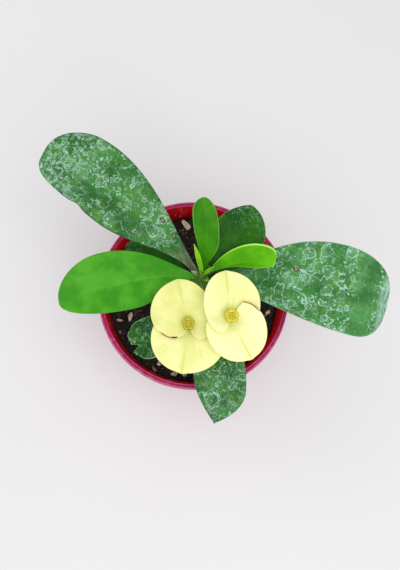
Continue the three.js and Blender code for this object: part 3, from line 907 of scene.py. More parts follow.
looks = {
    "limed": {
        # its dark edge tone is painted shade along the margin, from the blade's thickness
        "deep": tone(40, 96, 38), "mid": tone(66, 128, 58), "edge": tone(30, 54, 30), "yellow": 0.2,
        "rib": 0.2, "drops": 1.0, "dropsFrom": 0.82, "loops": 0.85, "tides": 0.6, "specks": 0.75,
        "film": 0.4, "foot": 0.75, "limeFrom": (0.05, 0.25),
        "seed": 3, "scars": [(14.5, -2.2, 0.8, 0.4), (21, -3.2, 0.85, 0.45), (25, 4.5, 0.4, 0.25)],
    },
    "webbed": {
        "deep": tone(44, 104, 46), "mid": tone(74, 140, 70), "edge": tone(104, 156, 112),
        "yellow": 0.15, "rib": 0.35, "loops": 0.85, "tides": 1.0, "specks": 0.95, "film": 0.5,
        "clean": (0.78, 0.88), "sheenFrom": 0.925, "limeFrom": (0.1, 0.36),
        "seed": 11, "scars": [(31, 3.5, 0.7, 0.5), (23, -5.5, 0.5, 0.3), (52, 4, 0.4, 0.3)],
    },
    "bright": {
        "deep": tone(52, 136, 22), "mid": tone(78, 160, 36), "edge": tone(64, 146, 30), "rib": 0.45,
        "veins": 0.06, "gloss": 0.36, "seed": 5,
    },
    "fresh": {
        "deep": tone(38, 112, 2), "mid": tone(62, 134, 6), "edge": tone(118, 184, 84),
        "edgeFrom": 0.92, "rib": 0.4, "veins": 0.07, "gloss": 0.34, "seed": 8,
    },
    "vivid": {
        "deep": tone(72, 152, 0), "mid": tone(94, 176, 2), "edge": tone(170, 234, 100),
        "edgeShare": 0.85, "edgeFrom": 0.88, "rib": 0.3, "gloss": 0.32, "seed": 9,
    },
    "spear": {
        "deep": tone(110, 186, 12), "mid": tone(160, 216, 44), "edge": tone(196, 234, 110),
        "edgeShare": 0.8, "rib": 0.0, "gloss": 0.3, "seed": 2,
    },
    "scale": {
        "deep": tone(150, 168, 120), "mid": tone(196, 204, 168), "edge": tone(214, 220, 190),
        "rib": 0.0, "seed": 4,
    },
    # the deep look's dark greens are painted shade for leaves that lie under others
    "deep": {
        "deep": tone(18, 74, 0), "mid": tone(38, 98, 6), "edge": tone(108, 158, 104), "rib": 0.3,
        "veins": 0.1, "specks": 0.8, "film": 0.42, "drops": 0.4, "dropsFrom": 0.93,
        "limeFrom": (0.4, 0.95), "seed": 15,
    },
    "dusty": {
        # its dark edge tone is painted shade along the margin, from the blade's thickness
        "deep": tone(38, 92, 42), "mid": tone(66, 124, 60), "edge": tone(46, 84, 52), "yellow": 0.5,
        "rib": 0.6, "drops": 0.35, "dropsFrom": 0.94, "loops": 0.8, "tides": 1.0, "specks": 1.0,
        "film": 0.75, "seed": 21,
    },
    "shaded": {
        "deep": tone(24, 80, 12), "mid": tone(44, 108, 20), "edge": tone(146, 190, 140), "edgeShare": 0.75,
        "edgeFrom": 0.94, "rib": 0.4, "loops": 0.6, "tides": 0.4, "specks": 0.6, "film": 0.25, "seed": 27,
    },
}

leafTones = {
    "sunned": tone(124, 158, 58), "foot": tone(104, 104, 78), "footStreak": tone(164, 172, 152),
    "scarRim": tone(70, 62, 40), "scar": tone(168, 142, 106), "under": tone(150, 178, 130),
}

# each kind of puddle is given by how close together they lie, their radius and line width in that spacing,
# the share left out and how much film they hold
lime = {
    "white": tone(184, 218, 206), "strength": 0.68, "warp": 2.1, "beadWarp": 0.6,
    "beadScale": 0.72, "speckScale": 1.7, "tideScale": 0.085,
    "puddles": (
        (0.16, 0.3, 0.026, 0.45, 0.14),
        (0.36, 0.28, 0.05, 0.5, 0.1),
        (0.7, 0.24, 0.09, 0.45, 0.05),
    ),
}


def halfWidth(leaf, share, side):
    width = leaf["left"] if side > 0 else leaf["right"]
    widest = leaf["widest"] - side * leaf["skew"]
    if share < widest:
        return lerp(leaf["neck"], width, math.sin(math.pi / 2 * share / widest) ** leaf["flare"])
    beyond = min(1, (share - widest) / (1 - widest))
    blunt = leaf["bluntLeft"] if side > 0 and leaf["bluntLeft"] else leaf["blunt"]
    return max(leaf["tip"], width * max(0, 1 - beyond ** leaf["full"]) ** blunt)


def growMidrib(leaf):
    # the midrib as a row of places, each with the directions along, across and out of the blade
    height = stemTop - leaf["below"]
    heading = math.radians(leaf["heading"])
    tuck = leaf["thickness"] / 2 * math.sin(math.radians(leaf["rise"]))
    outward = leaf["crown"] or stemRadiusAt(height) + leafForm["seat"] + tuck
    point = stemAxisAt(height) + Vector(onRing(1, heading)) * outward

    def ahead(share):
        slope = math.radians(leaf["rise"] - leaf["droop"] * share ** leaf["droopLate"])
        bearing = math.radians(leaf["heading"] + leaf["sway"] * share)
        flat = math.cos(slope)
        return Vector(onRing(flat, bearing, math.sin(slope))), bearing

    last = 0
    made = []
    for i in range(leaf["rows"] + 1):
        share = math.sin(math.pi / 2 * i / leaf["rows"])
        point = point + ahead((share + last) / 2)[0] * leaf["length"] * (share - last)
        along, bearing = ahead(share)
        across = Vector((-math.sin(bearing), math.cos(bearing), 0))
        made.append((share, point, along, across, along.cross(across)))
        last = share
    # the foot runs back into the stem
    start, along, across, out = made[0][1:]
    back = (outward - stemSkinAt(height) + leafForm["foot"]) / math.cos(math.radians(leaf["rise"]))
    made.insert(0, (0, start - along * back, along, across, out))
    return made


def limeMask(tree, look, start, share):
    warp = cloud(tree, start, 0.5, 2.0, 0.5, tinted=True)
    shaken, eased = (vectorCalc(tree, "ADD", start, stretch(tree, warp, (reach, reach, 0.0)))
                     for reach in (lime["warp"], lime["beadWarp"]))
    patch = between(tree, cloud(tree, start, 0.12, 3.0, 0.6), 0.38, 0.5)
    layers = []
    for scale, radius, wide, chosen, film in lime["puddles"] if look["loops"] else ():
        # the thin edge that each dried puddle left, and a faint film inside it
        puddle = cells(tree, shaken, scale)
        pick = parts(tree, puddle.outputs[1])
        reach = calc(tree, "MULTIPLY", calc(tree, "ADD", pick[1], 0.7), radius)
        away = calc(tree, "SUBTRACT", puddle.outputs[0], reach)
        line = between(tree, calc(tree, "ABSOLUTE", away), wide, wide * 0.4)
        inside = between(tree, away, 0.0, -0.02, 0.0, film)
        picked = between(tree, pick[0], chosen, chosen + 0.02)
        layers.append(times(tree, most(tree, line, inside), picked, patch, look["loops"]))
    if look["tides"]:
        tide = cloud(tree, shaken, lime["tideScale"], 3.0, 0.55)
        layers.append(times(tree, between(tree, apart(tree, tide, 0.52), 0.009, 0.003), look["tides"]))
    if look["drops"]:
        bead = cells(tree, eased, lime["beadScale"])
        pick = parts(tree, bead.outputs[1])
        edge = between(tree, apart(tree, bead.outputs[0], 0.36), 0.1, 0.03)
        disc = between(tree, bead.outputs[0], 0.4, 0.3, 0.0, 0.45)
        shade = between(tree, pick[0], 0.2, 0.9, 0.35, 1.0)
        nearTip = between(tree, share, look["dropsFrom"] - 0.16, look["dropsFrom"] + 0.08)
        blot = between(tree, cloud(tree, eased, 0.5, 3.0, 0.6), 0.58, 0.64)
        layers.append(times(tree, most(tree, edge, disc), shade, nearTip, look["drops"]))
        layers.append(times(tree, blot, nearTip, 0.9, look["drops"]))
    if look["specks"]:
        speck = cells(tree, start, lime["speckScale"])
        picked = between(tree, parts(tree, speck.outputs[1])[1], 0.45, 0.65)
        layers.append(times(tree, between(tree, speck.outputs[0], 0.3, 0.16), picked, look["specks"]))
    if look["film"]:
        haze = between(tree, cloud(tree, shaken, 0.4, 6.0, 0.72), 0.5, 0.74)
        layers.append(times(tree, haze, look["film"] * 0.7))
    mask = times(tree, most(tree, *layers), between(tree, share, *look["limeFrom"]))
    if look["clean"]:
        before = between(tree, share, look["clean"][0] + 0.03, look["clean"][0] - 0.01)
        after = between(tree, share, look["clean"][1], look["clean"][1] + 0.03)
        mask = times(tree, mask, between(tree, most(tree, before, after), 0.0, 1.0, 0.2, 1.0))
    return mask


def leafMaterial(name, look):
    material, tree, shader = newMaterial(name)
    place = mark(tree, "blade")
    where = parts(tree, mark(tree, "bladeShare"))    # share along, share across, underside
    along = where[0]
    aside = calc(tree, "ABSOLUTE", where[1])
    start = vectorCalc(tree, "ADD", place, (look["seed"] * 17.0, look["seed"] * 5.0, 0.0))
    broad = cloud(tree, start, 0.12, 3.0, 0.55)
    fine = cloud(tree, start, 0.9, 5.0, 0.6)
    body = blend(tree, between(tree, broad, 0.36, 0.64), look["deep"], look["mid"])
    body = blend(tree, times(tree, between(tree, fine, 0.4, 0.8), 0.3), body, look["mid"])
    if look["yellow"]:
        sunned = between(tree, cloud(tree, start, 0.17, 2.0, 0.5), 0.52, 0.7)
        body = blend(tree, times(tree, sunned, look["yellow"]), body, leafTones["sunned"])
    pale = tuple(min(1, part * 1.45 + 0.02) for part in look["mid"][:3]) + (1,)
    if look["veins"]:
        # side veins leave the midrib at a slant
        local = parts(tree, place)
        swept = calc(tree, "MULTIPLY", calc(tree, "ABSOLUTE", local[1]), 0.75)
        slant = calc(tree, "SUBTRACT", local[0], swept)
        slant = calc(tree, "ADD", slant, calc(tree, "MULTIPLY", broad, 3.0))
        wave = calc(tree, "SINE", calc(tree, "MULTIPLY", slant, 2.1))
        body = blend(tree, times(tree, between(tree, wave, 0.82, 1.0), look["veins"]), body, pale)
    # the midrib is paler near the stem
    if look["rib"]:
        halo = times(tree, between(tree, aside, 0.16, 0.0), 0.35)
        rib = most(tree, between(tree, aside, 0.035, 0.0), halo)
        rib = times(tree, rib, between(tree, along, 1.0, 0.1, 0.2, 1.0), look["rib"])
        body = blend(tree, rib, body, pale)
    height = calc(tree, "MULTIPLY", fine, 0.6)
    gloss = between(tree, fine, 0.2, 0.8, look["gloss"], look["gloss"] + 0.14)
    if look["foot"]:
        streak = cloud(tree, stretch(tree, start, (0.25, 2.2, 0.0)), 0.8, 4.0, 0.6)
        wornHighlight = times(tree, between(tree, along, 0.2, 0.03), look["foot"])
        body = blend(tree, wornHighlight, body, leafTones["foot"])
        body = blend(tree, times(tree, wornHighlight, between(tree, streak, 0.5, 0.7)), body, leafTones["footStreak"])
    if look["loops"] or look["specks"]:
        crust = limeMask(tree, look, start, along)
        # a grey-white strip where the tip droops away: a painted sheen of reflected sky, laid in with the
        # lime
        if look["sheenFrom"]:
            streak = cloud(tree, stretch(tree, start, (1.6, 0.4, 0.0)), 0.9, 4.0, 0.65)
            paintedSheen = between(tree, along, look["sheenFrom"], look["sheenFrom"] + 0.04)
            crust = most(tree, crust, times(tree, paintedSheen, between(tree, streak, 0.3, 0.62)))
        crust = calc(tree, "MULTIPLY", crust, lime["strength"], True)
        body = blend(tree, crust, body, lime["white"])
        gloss = calc(tree, "ADD", gloss, calc(tree, "MULTIPLY", crust, 0.3))
        height = calc(tree, "ADD", height, calc(tree, "MULTIPLY", crust, 0.5))
    for reach, offset, length, breadth in look["scars"]:
        spot = vectorCalc(tree, "SUBTRACT", place, (reach, offset, 0.0))
        away = vectorCalc(tree, "LENGTH", stretch(tree, spot, (1 / length, 1 / breadth, 0.0)))
        body = blend(tree, between(tree, away, 1.8, 1.1), body, leafTones["scarRim"])
        body = blend(tree, between(tree, away, 1.0, 0.4), body, leafTones["scar"])
    # the margin tone is a paler rim on most looks and painted shade on the limed and dusty looks
    margin = between(tree, aside, look["edgeFrom"], look["edgeFrom"] + 0.035)
    edge = most(tree, margin, between(tree, along, 0.985, 0.998))
    body = blend(tree, times(tree, edge, look["edgeShare"]), body, look["edge"])
    body = blend(tree, times(tree, where[2], 0.45), body, leafTones["under"])
    coat(tree, shader, body, gloss)
    glowThrough(shader, 0.06, (0.4, 1.0, 0.2))
    shader.inputs["Specular IOR Level"].default_value = 0.1
    relief(tree, shader, height, 0.35, 0.25)
    return material


def makeLeaf(name, leaf, material):
    rows = growMidrib(leaf)
    columns = leaf["columns"]
    top, bottom, blade, shares, under = [], [], [], [], []
    seed = sum(map(ord, name)) * 0.37
    for share, point, along, across, out in rows:
        for j in range(columns):
            v = math.sin(math.pi / 2 * (2 * j / (columns - 1) - 1))
            dip = 1 - leaf["wave"] * hill(share, leaf["waveAt"], leaf["waveWidth"]) if v > 0 else 1
            half = halfWidth(leaf, share, v) * dip
            fold = leaf["fold"] + (leaf["foldRight"] * (1 - share) if v < 0 else 0)
            lift = half * fold * (math.sqrt(v * v + 0.02) - math.sqrt(0.02))
            flat = math.cos(math.atan(fold) * abs(v)) if v < 0 and leaf["foldRight"] else 1
            frayed = 0.35 * (noise.noise(Vector((v * 5, seed, 0))) + abs(math.sin(v * 9)))
            torn = leaf["ragged"] * (v ** 6 + frayed)
            back = (leaf["notch"] * hill(v, leaf["notchAt"], 0.2) + torn) * share ** 8
            sway = leaf["ripple"] * v * v * math.sin(share * 9 + seed) * smooth(0.2, 0.6, share)
            rough = 0.12 * noise.noise(Vector((share * leaf["length"] * 0.25, v * half * 0.25, seed)))
            rib = hill(v * half, 0, 0.55) * (1 - 0.7 * share)
            stout = 1 + leafForm["stout"] * (1 - smooth(0, 0.14, share))
            slab = leaf["thickness"] * leafForm["skin"] * stout
            thick = slab * math.sqrt(max(0, 1 - abs(v) ** 5)) / 2 + 0.03
            middle = point + across * half * v * flat + out * (lift + sway + rough) - along * back
            top.append(middle + out * (thick - leaf["groove"] * rib))
            bottom.append(middle - out * (thick + 0.25 * rib))
            blade.append((share * leaf["length"], v * half, 0))
            shares.append((share, v, 0))
            under.append((share, v, 1))
    marks = {"blade": blade + blade, "bladeShare": shares + under}
    stands = [name] if leaf["node"] else ()
    makePiece(name + "_blade", top + bottom, shell(len(rows), columns), material, stands, marks)


leafMaterials = {name: leafMaterial(name + "Leaf", {**plainLook, **look}) for name, look in looks.items()}
for name, shape in leaves.items():
    leaf = {**plainLeaf, **shape}
    makeLeaf(name, leaf, leafMaterials[leaf["look"]])
print("leaves are grown")


stalk = {
    "radius": 0.72, "belowTip": 5.5, "reach": 10.5, "rise": 3.5, "knot": 1.35, "sides": 20, "steps": 26,
    "aside": 1, "voxel": 0.16, "easeBy": 0.5, "easeTurns": 8,
    "green": tone(74, 122, 36), "red": tone(112, 92, 44), "pale": tone(130, 164, 72),
}
stalkFoot = stemAxisAt(stemTop - stalk["belowTip"])
fork = stalkFoot + Vector((stalk["aside"], -stalk["reach"], stalk["rise"]))

flowers = {
    "left": {
        "side": -1, "lift": 0, "reachY": -8.1, "press": 0.2, "lean": (-3, -1.5), "squeeze": 0.84,
        "olive": 0.3,
    },
    "right": {
        "side": 1, "lift": 3.6, "reachY": -6.5, "press": 1.2, "lean": (-2, 4), "squeeze": 1, "olive": 0,
    },
}
flowerForm = {"spread": 6.85, "rise": 6}


def flowerFoot(flower):
    height = flowerForm["rise"] + flower["lift"]
    return fork + Vector((flower["side"] * flowerForm["spread"], flower["reachY"], height))


def flowerLean(flower):
    return Euler((math.radians(flower["lean"][0]), math.radians(flower["lean"][1]), 0))


# axis is the way a bract points, left and right how far round the cup it reaches in degrees;
# on each side, span is its breadth, lobe how far its base hangs back, and a power gives a rounded lobe;
# pale is how light it is, a painted light and shade that differs from bract to bract;
# burn is the stretch of its edge that is browned and spot the darkest place there
bractShape = {
    "thickness": 0.34, "rise": 5, "droop": 3, "reference": 16, "ring": 1.0, "spreadBy": 5,
    "turns": 150, "rows": 44, "mucro": 0.28, "mucroTurn": 0.07, "crease": 0.2, "ruffle": 0.22,
    "power": 1.2, "lobeSwing": 0.93, "lobeRound": 34, "rampOver": 160,
}

bracts = {
    "bract_left_upper": {
        "flower": "left", "axis": 101, "length": 15.6, "left": 158, "right": 178, "spanLeft": 1.0,
        "spanRight": 0.7, "lobeLeft": 1, "lobeRight": 1.02, "powerRight": 0.8, "lift": 1.1, "ramp": 0,
        "pale": 0.2, "burn": (96, 124), "spot": 121, "seed": 1,
    },
    "bract_left_lower": {
        "flower": "left", "axis": 260, "length": 16.2, "left": 118, "right": 118, "spanLeft": 1.08,
        "spanRight": 0.98, "lobeLeft": 1, "lobeRight": 1, "lift": 0, "ramp": 0,
        "pale": 0.42, "burn": None, "spot": None, "seed": 2,
    },
    "bract_right_upper": {
        "flower": "right", "axis": 92.5, "length": 15.7, "left": 158, "right": 104, "spanLeft": 0.7,
        "spanRight": 0.92, "lobeLeft": 0.96, "lobeRight": 1, "powerLeft": 0.95, "lift": 0, "ramp": 1.4,
        "pale": 0.5, "burn": None, "spot": None, "seed": 3,
    },
    "bract_right_lower": {
        "flower": "right", "axis": 293, "length": 15.3, "left": 113, "right": 112, "spanLeft": 0.88,
        "spanRight": 0.9, "lobeLeft": 1, "lobeRight": 1, "lift": 0, "ramp": 1.4,
        "pale": 0.85, "burn": (80, 118), "spot": None, "seed": 4,
    },
}

bractTones = {
    "pale": tone(243, 244, 180), "cream": tone(214, 213, 118), "heartShade": tone(204, 209, 98),
    "vein": tone(208, 212, 104), "rib": tone(198, 214, 98), "edge": tone(228, 229, 130),
    "blush": tone(238, 214, 158), "burnt": tone(146, 88, 46), "spot": tone(58, 26, 16),
}


def bractMaterial(name, bract):
    material, tree, shader = newMaterial(name)
    place = mark(tree, "petal")
    share = parts(tree, mark(tree, "petalShare"))    # share outwards, turn, underside
    local = parts(tree, place)
    start = vectorCalc(tree, "ADD", place, (bract["seed"] * 31.0, bract["seed"] * 7.0, 0.0))
    patch = cloud(tree, start, 0.16, 3.0, 0.5)
    # each bract's pale share is painted light and shade, lighter or darker from bract to bract, mottled by
    # noise
    paler = calc(tree, "ADD", between(tree, patch, 0.3, 0.7, 0.0, 0.4), bract["pale"], True)
    body = blend(tree, paler, bractTones["cream"], bractTones["pale"])
    # darker and greener towards the cup: partly the bract's own green foot, partly painted shade where it
    # dips into the cup
    body = blend(tree, times(tree, between(tree, share[0], 0.5, 0.05), 0.6), body, bractTones["heartShade"])
    # fine veins fan out from the foot
    fanned = addNode(tree, "CombineXYZ")
    feed(tree, fanned.inputs[0], calc(tree, "MULTIPLY", share[1], 13.0))
    feed(tree, fanned.inputs[1], calc(tree, "MULTIPLY", share[0], 1.6))
    feed(tree, fanned.inputs[2], float(bract["seed"]))
    veins = between(tree, cloud(tree, fanned.outputs[0], 1.0, 5.0, 0.65), 0.48, 0.72)
    fading = between(tree, share[0], 0.98, 0.4, 0.15, 0.6)
    body = blend(tree, times(tree, veins, fading), body, bractTones["vein"])
    rib = between(tree, calc(tree, "ABSOLUTE", local[1]), 0.75, 0.05)
    rib = times(tree, rib, between(tree, share[0], 0.15, 0.9, 0.05, 0.7), between(tree, local[0], 0.0, 2.0))
    body = blend(tree, rib, body, bractTones["rib"])
    body = blend(tree, times(tree, between(tree, share[0], 0.97, 1.0), 0.3), body, bractTones["edge"])
    height = calc(tree, "ADD", veins, calc(tree, "MULTIPLY", patch, 0.5))
    if bract["burn"]:
        low, high = (math.radians(part) for part in bract["burn"])
        ragged = cloud(tree, start, 0.8, 3.0, 0.6)
        begun = between(tree, share[1], low - 0.15, low + 0.1)
        reached = times(tree, begun, between(tree, share[1], high + 0.1, high - 0.1))
        line = between(tree, calc(tree, "ADD", share[0], calc(tree, "MULTIPLY", ragged, 0.07)), 0.955, 0.99)
        blush = times(tree, reached, between(tree, share[0], 0.6, 1.0), 0.5)
        body = blend(tree, blush, body, bractTones["blush"])
        body = blend(tree, times(tree, reached, line, 0.9), body, bractTones["burnt"])
    if bract["spot"]:
        aside = apart(tree, share[1], math.radians(bract["spot"]))
        spot = times(tree, between(tree, aside, 0.15, 0.06), between(tree, share[0], 0.87, 0.92))
        body = blend(tree, spot, body, bractTones["spot"])
    coat(tree, shader, body, 0.6)
    shader.inputs["Specular IOR Level"].default_value = 0.2
    glowThrough(shader, 0.2, (1.2, 1.2, 0.5))
    relief(tree, shader, height, 0.25, 0.12)
    return material


def bractReach(bract, turn):
    # outline in polar form round the cup; a side with a power of its own ends in a rounded lobe
    side, end = ("Left", bract["left"]) if turn > 0 else ("Right", bract["right"])
    lobed = "power" + side in bract
    power = bract["power" + side] if lobed else bractShape["power"]
    swing = turn / 2 * (bractShape["lobeSwing"] if lobed else 1)
    lobeEnd = 1
    if lobed:
        lobeEnd = math.sqrt(max(0, 1 - (abs(turn) / math.radians(end)) ** bractShape["lobeRound"]))
    mucro = bractShape["mucro"] * hill(turn, 0, bractShape["mucroTurn"])
    return max(bractShape["ring"] + 0.4, bract["length"] * math.cos(swing) ** power * lobeEnd + mucro)


def makeBract(name, bract):
    turns, rows = bractShape["turns"], bractShape["rows"]
    top, bottom, petal, shares, under = [], [], [], [], []
    axis = math.radians(bract["axis"])
    flower = flowers[bract["flower"]]
    ring = bractShape["ring"]
    seed = bract["axis"] * 0.13
    for i in range(turns + 1):
        turn = math.radians(lerp(bract["left"], -bract["right"], i / turns))
        left = turn > 0
        edge = bractReach(bract, turn)
        for j in range(rows + 1):
            out = math.sin(math.pi / 2 * j / rows)
            radius = lerp(ring, edge, out)
            grown = smooth(ring, bractShape["spreadBy"], radius)
            span = lerp(1, bract["spanLeft"] if left else bract["spanRight"], grown)
            lobe = lerp(1, bract["lobeLeft"] if left else bract["lobeRight"], grown)
            ahead = radius * math.cos(turn) * (lobe if math.cos(turn) < 0 else 1)
            aside = radius * math.sin(turn) * span
            x = ahead * math.cos(axis) - aside * math.sin(axis)
            y = ahead * math.sin(axis) + aside * math.cos(axis)
            far = math.hypot(x, y) / bractShape["reference"]
            inner = max(0, -x * flower["side"]) / 10
            bowl = bractShape["rise"] * far - bractShape["droop"] * far * far
            press = flower["press"] * inner * inner
            step = bract["lift"] + bract["ramp"] * turn / math.radians(bractShape["rampOver"])
            crease = -bractShape["crease"] * hill(aside, 0, 0.7) * smooth(0, 3, ahead)
            ruffle = bractShape["ruffle"] * out ** 4 * math.sin(turn * 5 + seed)
            rough = 0.1 * noise.noise(Vector((x * 0.3, y * 0.3, seed)))
            thick = bractShape["thickness"] / 2 * math.sqrt(max(0, 1 - out ** 8)) + 0.02
            height = bowl + press + step + crease + ruffle + rough
            top.append(Vector((x, y, height + thick)))
            bottom.append(Vector((x, y, height - thick)))
            petal.append((ahead, aside, 0))
            shares.append((radius / edge, turn, 0))
            under.append((radius / edge, turn, 1))
    lean, base = flowerLean(flower), flowerFoot(flower)
    points = []
    for point in top + bottom:
        point.rotate(lean)
        points.append(point + base)
    marks = {"petal": petal + petal, "petalShare": shares + under}
    material = bractMaterial(name + "_skin", bract)
    makePiece(name + "_petal", points, shell(turns + 1, rows + 1), material, [name], marks)


for name, bract in bracts.items():
    makeBract(name, bract)
print("bracts are open")


cup = {
    "rim": 1.75, "height": 4.2, "drop": 0.6, "sides": 60, "floor": 3.72,
    "glands": 5, "gland": (0.66, 1.24, 0.4), "lobe": (0.4, 0.46, 0.3), "firstGland": 0.3,
    "anthers": 8, "stepsUp": 5, "threadSides": 8, "thread": 0.09, "style": 0.15,
    "stamenTurn": 2.4, "stamenSpread": (0.3, 0.75), "stamenTall": (0.45, 0.85), "styleTall": 0.95,
    "anther": (0.17, 0.17, 0.16), "styleArm": (0.24, 0.13, 0.12), "armTurn": 2.1,
    "yellow": tone(218, 200, 14), "olive": tone(92, 90, 4), "pale": tone(232, 226, 112),
    "green": tone(170, 188, 70), "lightGreen": tone(206, 208, 92),
}


def cupMaterial():
    material, tree, shader = newMaterial("cupSkin")
    kind = parts(tree, mark(tree, "cupMark"))    # yellow, olive, pale
    grain = cloud(tree, objectPlace(tree), 1400.0, 4.0)
    body = blend(tree, between(tree, grain, 0.3, 0.7), cup["green"], cup["lightGreen"])
    body = blend(tree, kind[0], body, cup["yellow"])
    body = blend(tree, kind[2], body, cup["pale"])
    body = blend(tree, kind[1], body, cup["olive"])
    coat(tree, shader, body, 0.3)
    glowThrough(shader, 0.1, (0.5, 0.5, 0.2))
    relief(tree, shader, grain, 0.4, 0.15)
    return material


def addTurned(store, path, sides, kinds, swell):
    start = len(store["points"])
    count = len(path)
    for k in range(sides):
        turn = 2 * math.pi * k / sides
        for (radius, height), kind in zip(path, kinds):
            wide = radius * swell(turn)
            store["points"].append(Vector(onRing(wide, turn, height)))
            store["kind"].append(kind)
    for k in range(sides):
        a, b = start + k * count, start + (k + 1) % sides * count
        for i in range(count - 1):
            store["faces"].append((a + i, b + i, b + i + 1, a + i + 1))
    store["faces"].append(tuple(start + k * count for k in reversed(range(sides))))
    store["faces"].append(tuple(start + k * count + count - 1 for k in range(sides)))


def addBall(store, shape, place, size, turn, kindAt, bend=0):
    # a ball squashed to size, curled round the cup's axis by bend and darker where kindAt says
    points, faces = shape
    start = len(store["points"])
    for point in points:
        moved = Vector((point.x * size[0], point.y * size[1], point.z * size[2]))
        moved.x -= bend * moved.y ** 2
        moved.rotate(Euler((0, 0, turn)))
        store["points"].append(moved + place)
        store["kind"].append(kindAt(point))
    store["faces"].extend(tuple(start + index for index in face) for face in faces)


def makeCup(name, flower, material):
    shape = lumpShape(4)
    store = {"points": [], "faces": [], "kind": []}
    rim, height, drop, floor = (cup[key] for key in ("rim", "height", "drop", "floor"))
    path = [
        (0.5, -drop), (0.95, -drop + 0.1), (1.1, 0.2), (1.12, 1.1), (1.2, 1.9), (1.5, 2.7),
        (rim - 0.15, height - 0.9), (rim, height - 0.6),
        (rim - 0.05, height - 0.35), (rim - 0.35, height - 0.35), (rim - 0.5, floor + 0.2),
        (rim - 0.8, floor),
        (0.8, floor - 0.1), (0.3, floor - 0.15),
    ]
    # green outside, olive under the glands, yellow over the mouth and paler within
    kinds = [(0, 0, 0)] * 6 + [(0.3, 0.2, 0)] * 2 + [(0.6, 0.3, 0)] * 3
    kinds += [(0.7, 0.1, 0.3)] + [(0.6, 0, 0.5)] * 2
    addTurned(store, path, cup["sides"], kinds, lambda turn: 1 + 0.035 * math.cos(cup["glands"] * turn))
    olive = flower["olive"]

    def glandKind(point):
        # a bright cushion with a dark seam round its outer side
        seam = smooth(0.72, 0.98, math.hypot(point.x, point.y)) * smooth(-0.4, 0.3, point.x)
        dent = hill(point.x, -0.1, 0.22) * hill(point.y, 0, 0.55)
        return (1, min(1, 0.75 * seam + 0.25 * dent + olive), 0)

    # broad glands touch in a ring round the mouth, and a fringed lobe folds in between each two
    for k in range(cup["glands"]):
        turn = 2 * math.pi * k / cup["glands"] + cup["firstGland"]
        centre = Vector((rim + 0.05, 0, height - 0.15))
        centre.rotate(Euler((0, 0, turn)))
        addBall(store, shape, centre, cup["gland"], turn, glandKind, 0.24)
        inner = turn + math.pi / cup["glands"]
        centre = Vector((rim - 0.85, 0, height - 0.35))
        centre.rotate(Euler((0, 0, inner)))
        addBall(store, shape, centre, cup["lobe"], inner, lambda point: (0.8, olive * 0.8, 0.2))
    setPart(store, name, flower, "cyathium_", material)


def setPart(store, name, flower, kind, material):
    lean, base = flowerLean(flower), flowerFoot(flower)
    points = []
    for point in store["points"]:
        point.x *= flower["squeeze"]
        point.rotate(lean)
        points.append(point + base)
    node = kind + name
    marks = {"cupMark": store["kind"]}
    makePiece(node + "_fine", points, store["faces"], material, [node], marks)


def makeStamens(name, flower, material):
    shape = lumpShape(3)
    store = {"points": [], "faces": [], "kind": []}
    steps, sides = cup["stepsUp"], cup["threadSides"]
    random.seed(len(name))
    for k in range(cup["anthers"] + 1):
        style = k == 0
        turn = k * cup["stamenTurn"]
        wide = cup["style"] if style else cup["thread"]
        spread = 0.0 if style else random.uniform(*cup["stamenSpread"])
        top = cup["floor"] + (cup["styleTall"] if style else random.uniform(*cup["stamenTall"]))
        head = Vector(onRing(spread, turn, top))
        foot = Vector((head.x * 0.3, head.y * 0.3, cup["floor"] - 0.12))
        start = len(store["points"])
        for i in range(steps + 1):
            centre = foot.lerp(head, i / steps)
            for j in range(sides):
                angle = 2 * math.pi * j / sides
                store["points"].append(centre + Vector(onRing(wide, angle)))
                store["kind"].append((0, 0, 0.6))
        store["faces"].extend(tubeFaces(start, steps, sides))
        if style:
            for arm in range(3):
                way = arm * cup["armTurn"]
                tip = head + Vector(onRing(0.2, way, 0.03))
                addBall(store, shape, tip, cup["styleArm"], way, lambda point: (0, 0.25, 0.1))
        else:
            for pair in (-1, 1):
                aside = Vector((-math.sin(turn), math.cos(turn), 0)) * 0.11 * pair
                addBall(store, shape, head + aside, cup["anther"], turn, lambda point: (0.7, 0, 0.4))
    setPart(store, name, flower, "stamens_", material)


cupSkin = cupMaterial()
for name, flower in flowers.items():
    makeCup(name, flower, cupSkin)
    makeStamens(name, flower, cupSkin)
print("cups, glands and stamens are set")


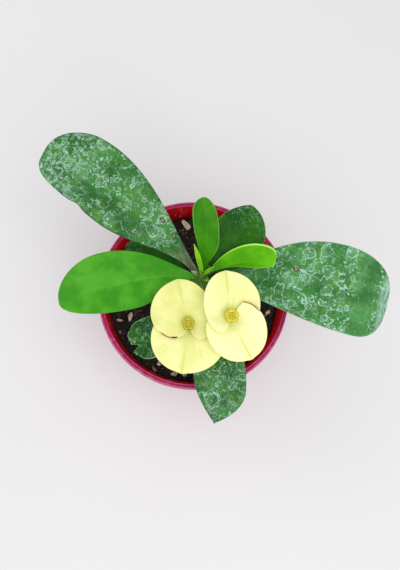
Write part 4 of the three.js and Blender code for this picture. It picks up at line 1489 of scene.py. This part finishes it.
def stalkMaterial():
    material, tree, shader = newMaterial("stalkSkin")
    where = objectPlace(tree)
    grain = cloud(tree, where, 500.0, 4.0, 0.6)
    tall = cloud(tree, stretch(tree, where, (1.0, 1.0, 0.2)), 1500.0, 3.0)
    body = blend(tree, between(tree, grain, 0.45, 0.75), stalk["green"], stalk["red"])
    body = blend(tree, calc(tree, "MULTIPLY", tall, 0.3), body, stalk["pale"])
    coat(tree, shader, body, 0.45)
    relief(tree, shader, tall, 0.3, 0.12)
    return material


def bezier(a, b, c, share):
    return a * (1 - share) ** 2 + b * 2 * share * (1 - share) + c * share * share


def addTube(store, a, b, c, widthAt):
    start = len(store["points"])
    sides, steps = stalk["sides"], stalk["steps"]
    for i in range(steps + 1):
        share = i / steps
        here = bezier(a, b, c, share)
        after, before = bezier(a, b, c, min(1, share + 0.01)), bezier(a, b, c, max(0, share - 0.01))
        along = (after - before).normalized()
        across = along.cross(Vector((0.3, 0.2, 1))).normalized()
        over = across.cross(along)
        for k in range(sides):
            angle = 2 * math.pi * k / sides
            side = across * math.cos(angle) + over * math.sin(angle)
            store["points"].append(here + side * stalk["radius"] * widthAt(share))
    store["faces"].extend(tubeFaces(start, steps, sides))


def makeStalk():
    store = {"points": [], "faces": [], "kind": []}
    foot = stalkFoot + Vector((0, -1, 0))
    middle = foot.lerp(fork, 0.5) + Vector((0, 0, 1.6))
    addTube(store, foot, middle, fork, lambda share: 1.25 - 0.25 * smooth(0, 0.25, share))
    for flower in flowers.values():
        end = flowerFoot(flower) + Vector((0, 0, -0.2))
        bend = fork.lerp(end, 0.6) + Vector((0, 0, -1.8))
        addTube(store, fork, bend, end, lambda share: lerp(0.85, 1.15, share ** 3))
    size = stalk["radius"] * stalk["knot"]
    addBall(store, lumpShape(3), fork, (size, size, size), 0, lambda point: 0)
    skin = stalkMaterial()
    piece = makePiece("flowerStalk", store["points"], store["faces"], skin, ["flower_stalk"])
    # the branches are welded into one skin and eased at the fork
    weld = piece.modifiers.new("weld", "REMESH")
    weld.mode = "VOXEL"
    weld.voxel_size = stalk["voxel"] * mm
    ease = piece.modifiers.new("ease", "SMOOTH")
    ease.factor = stalk["easeBy"]
    ease.iterations = stalk["easeTurns"]
    shaped = shapedMesh(piece)
    shaped.polygons.foreach_set("use_smooth", [True] * len(shaped.polygons))


makeStalk()
print("flower stalk is joined")
print(len(pieceNames), "pieces")
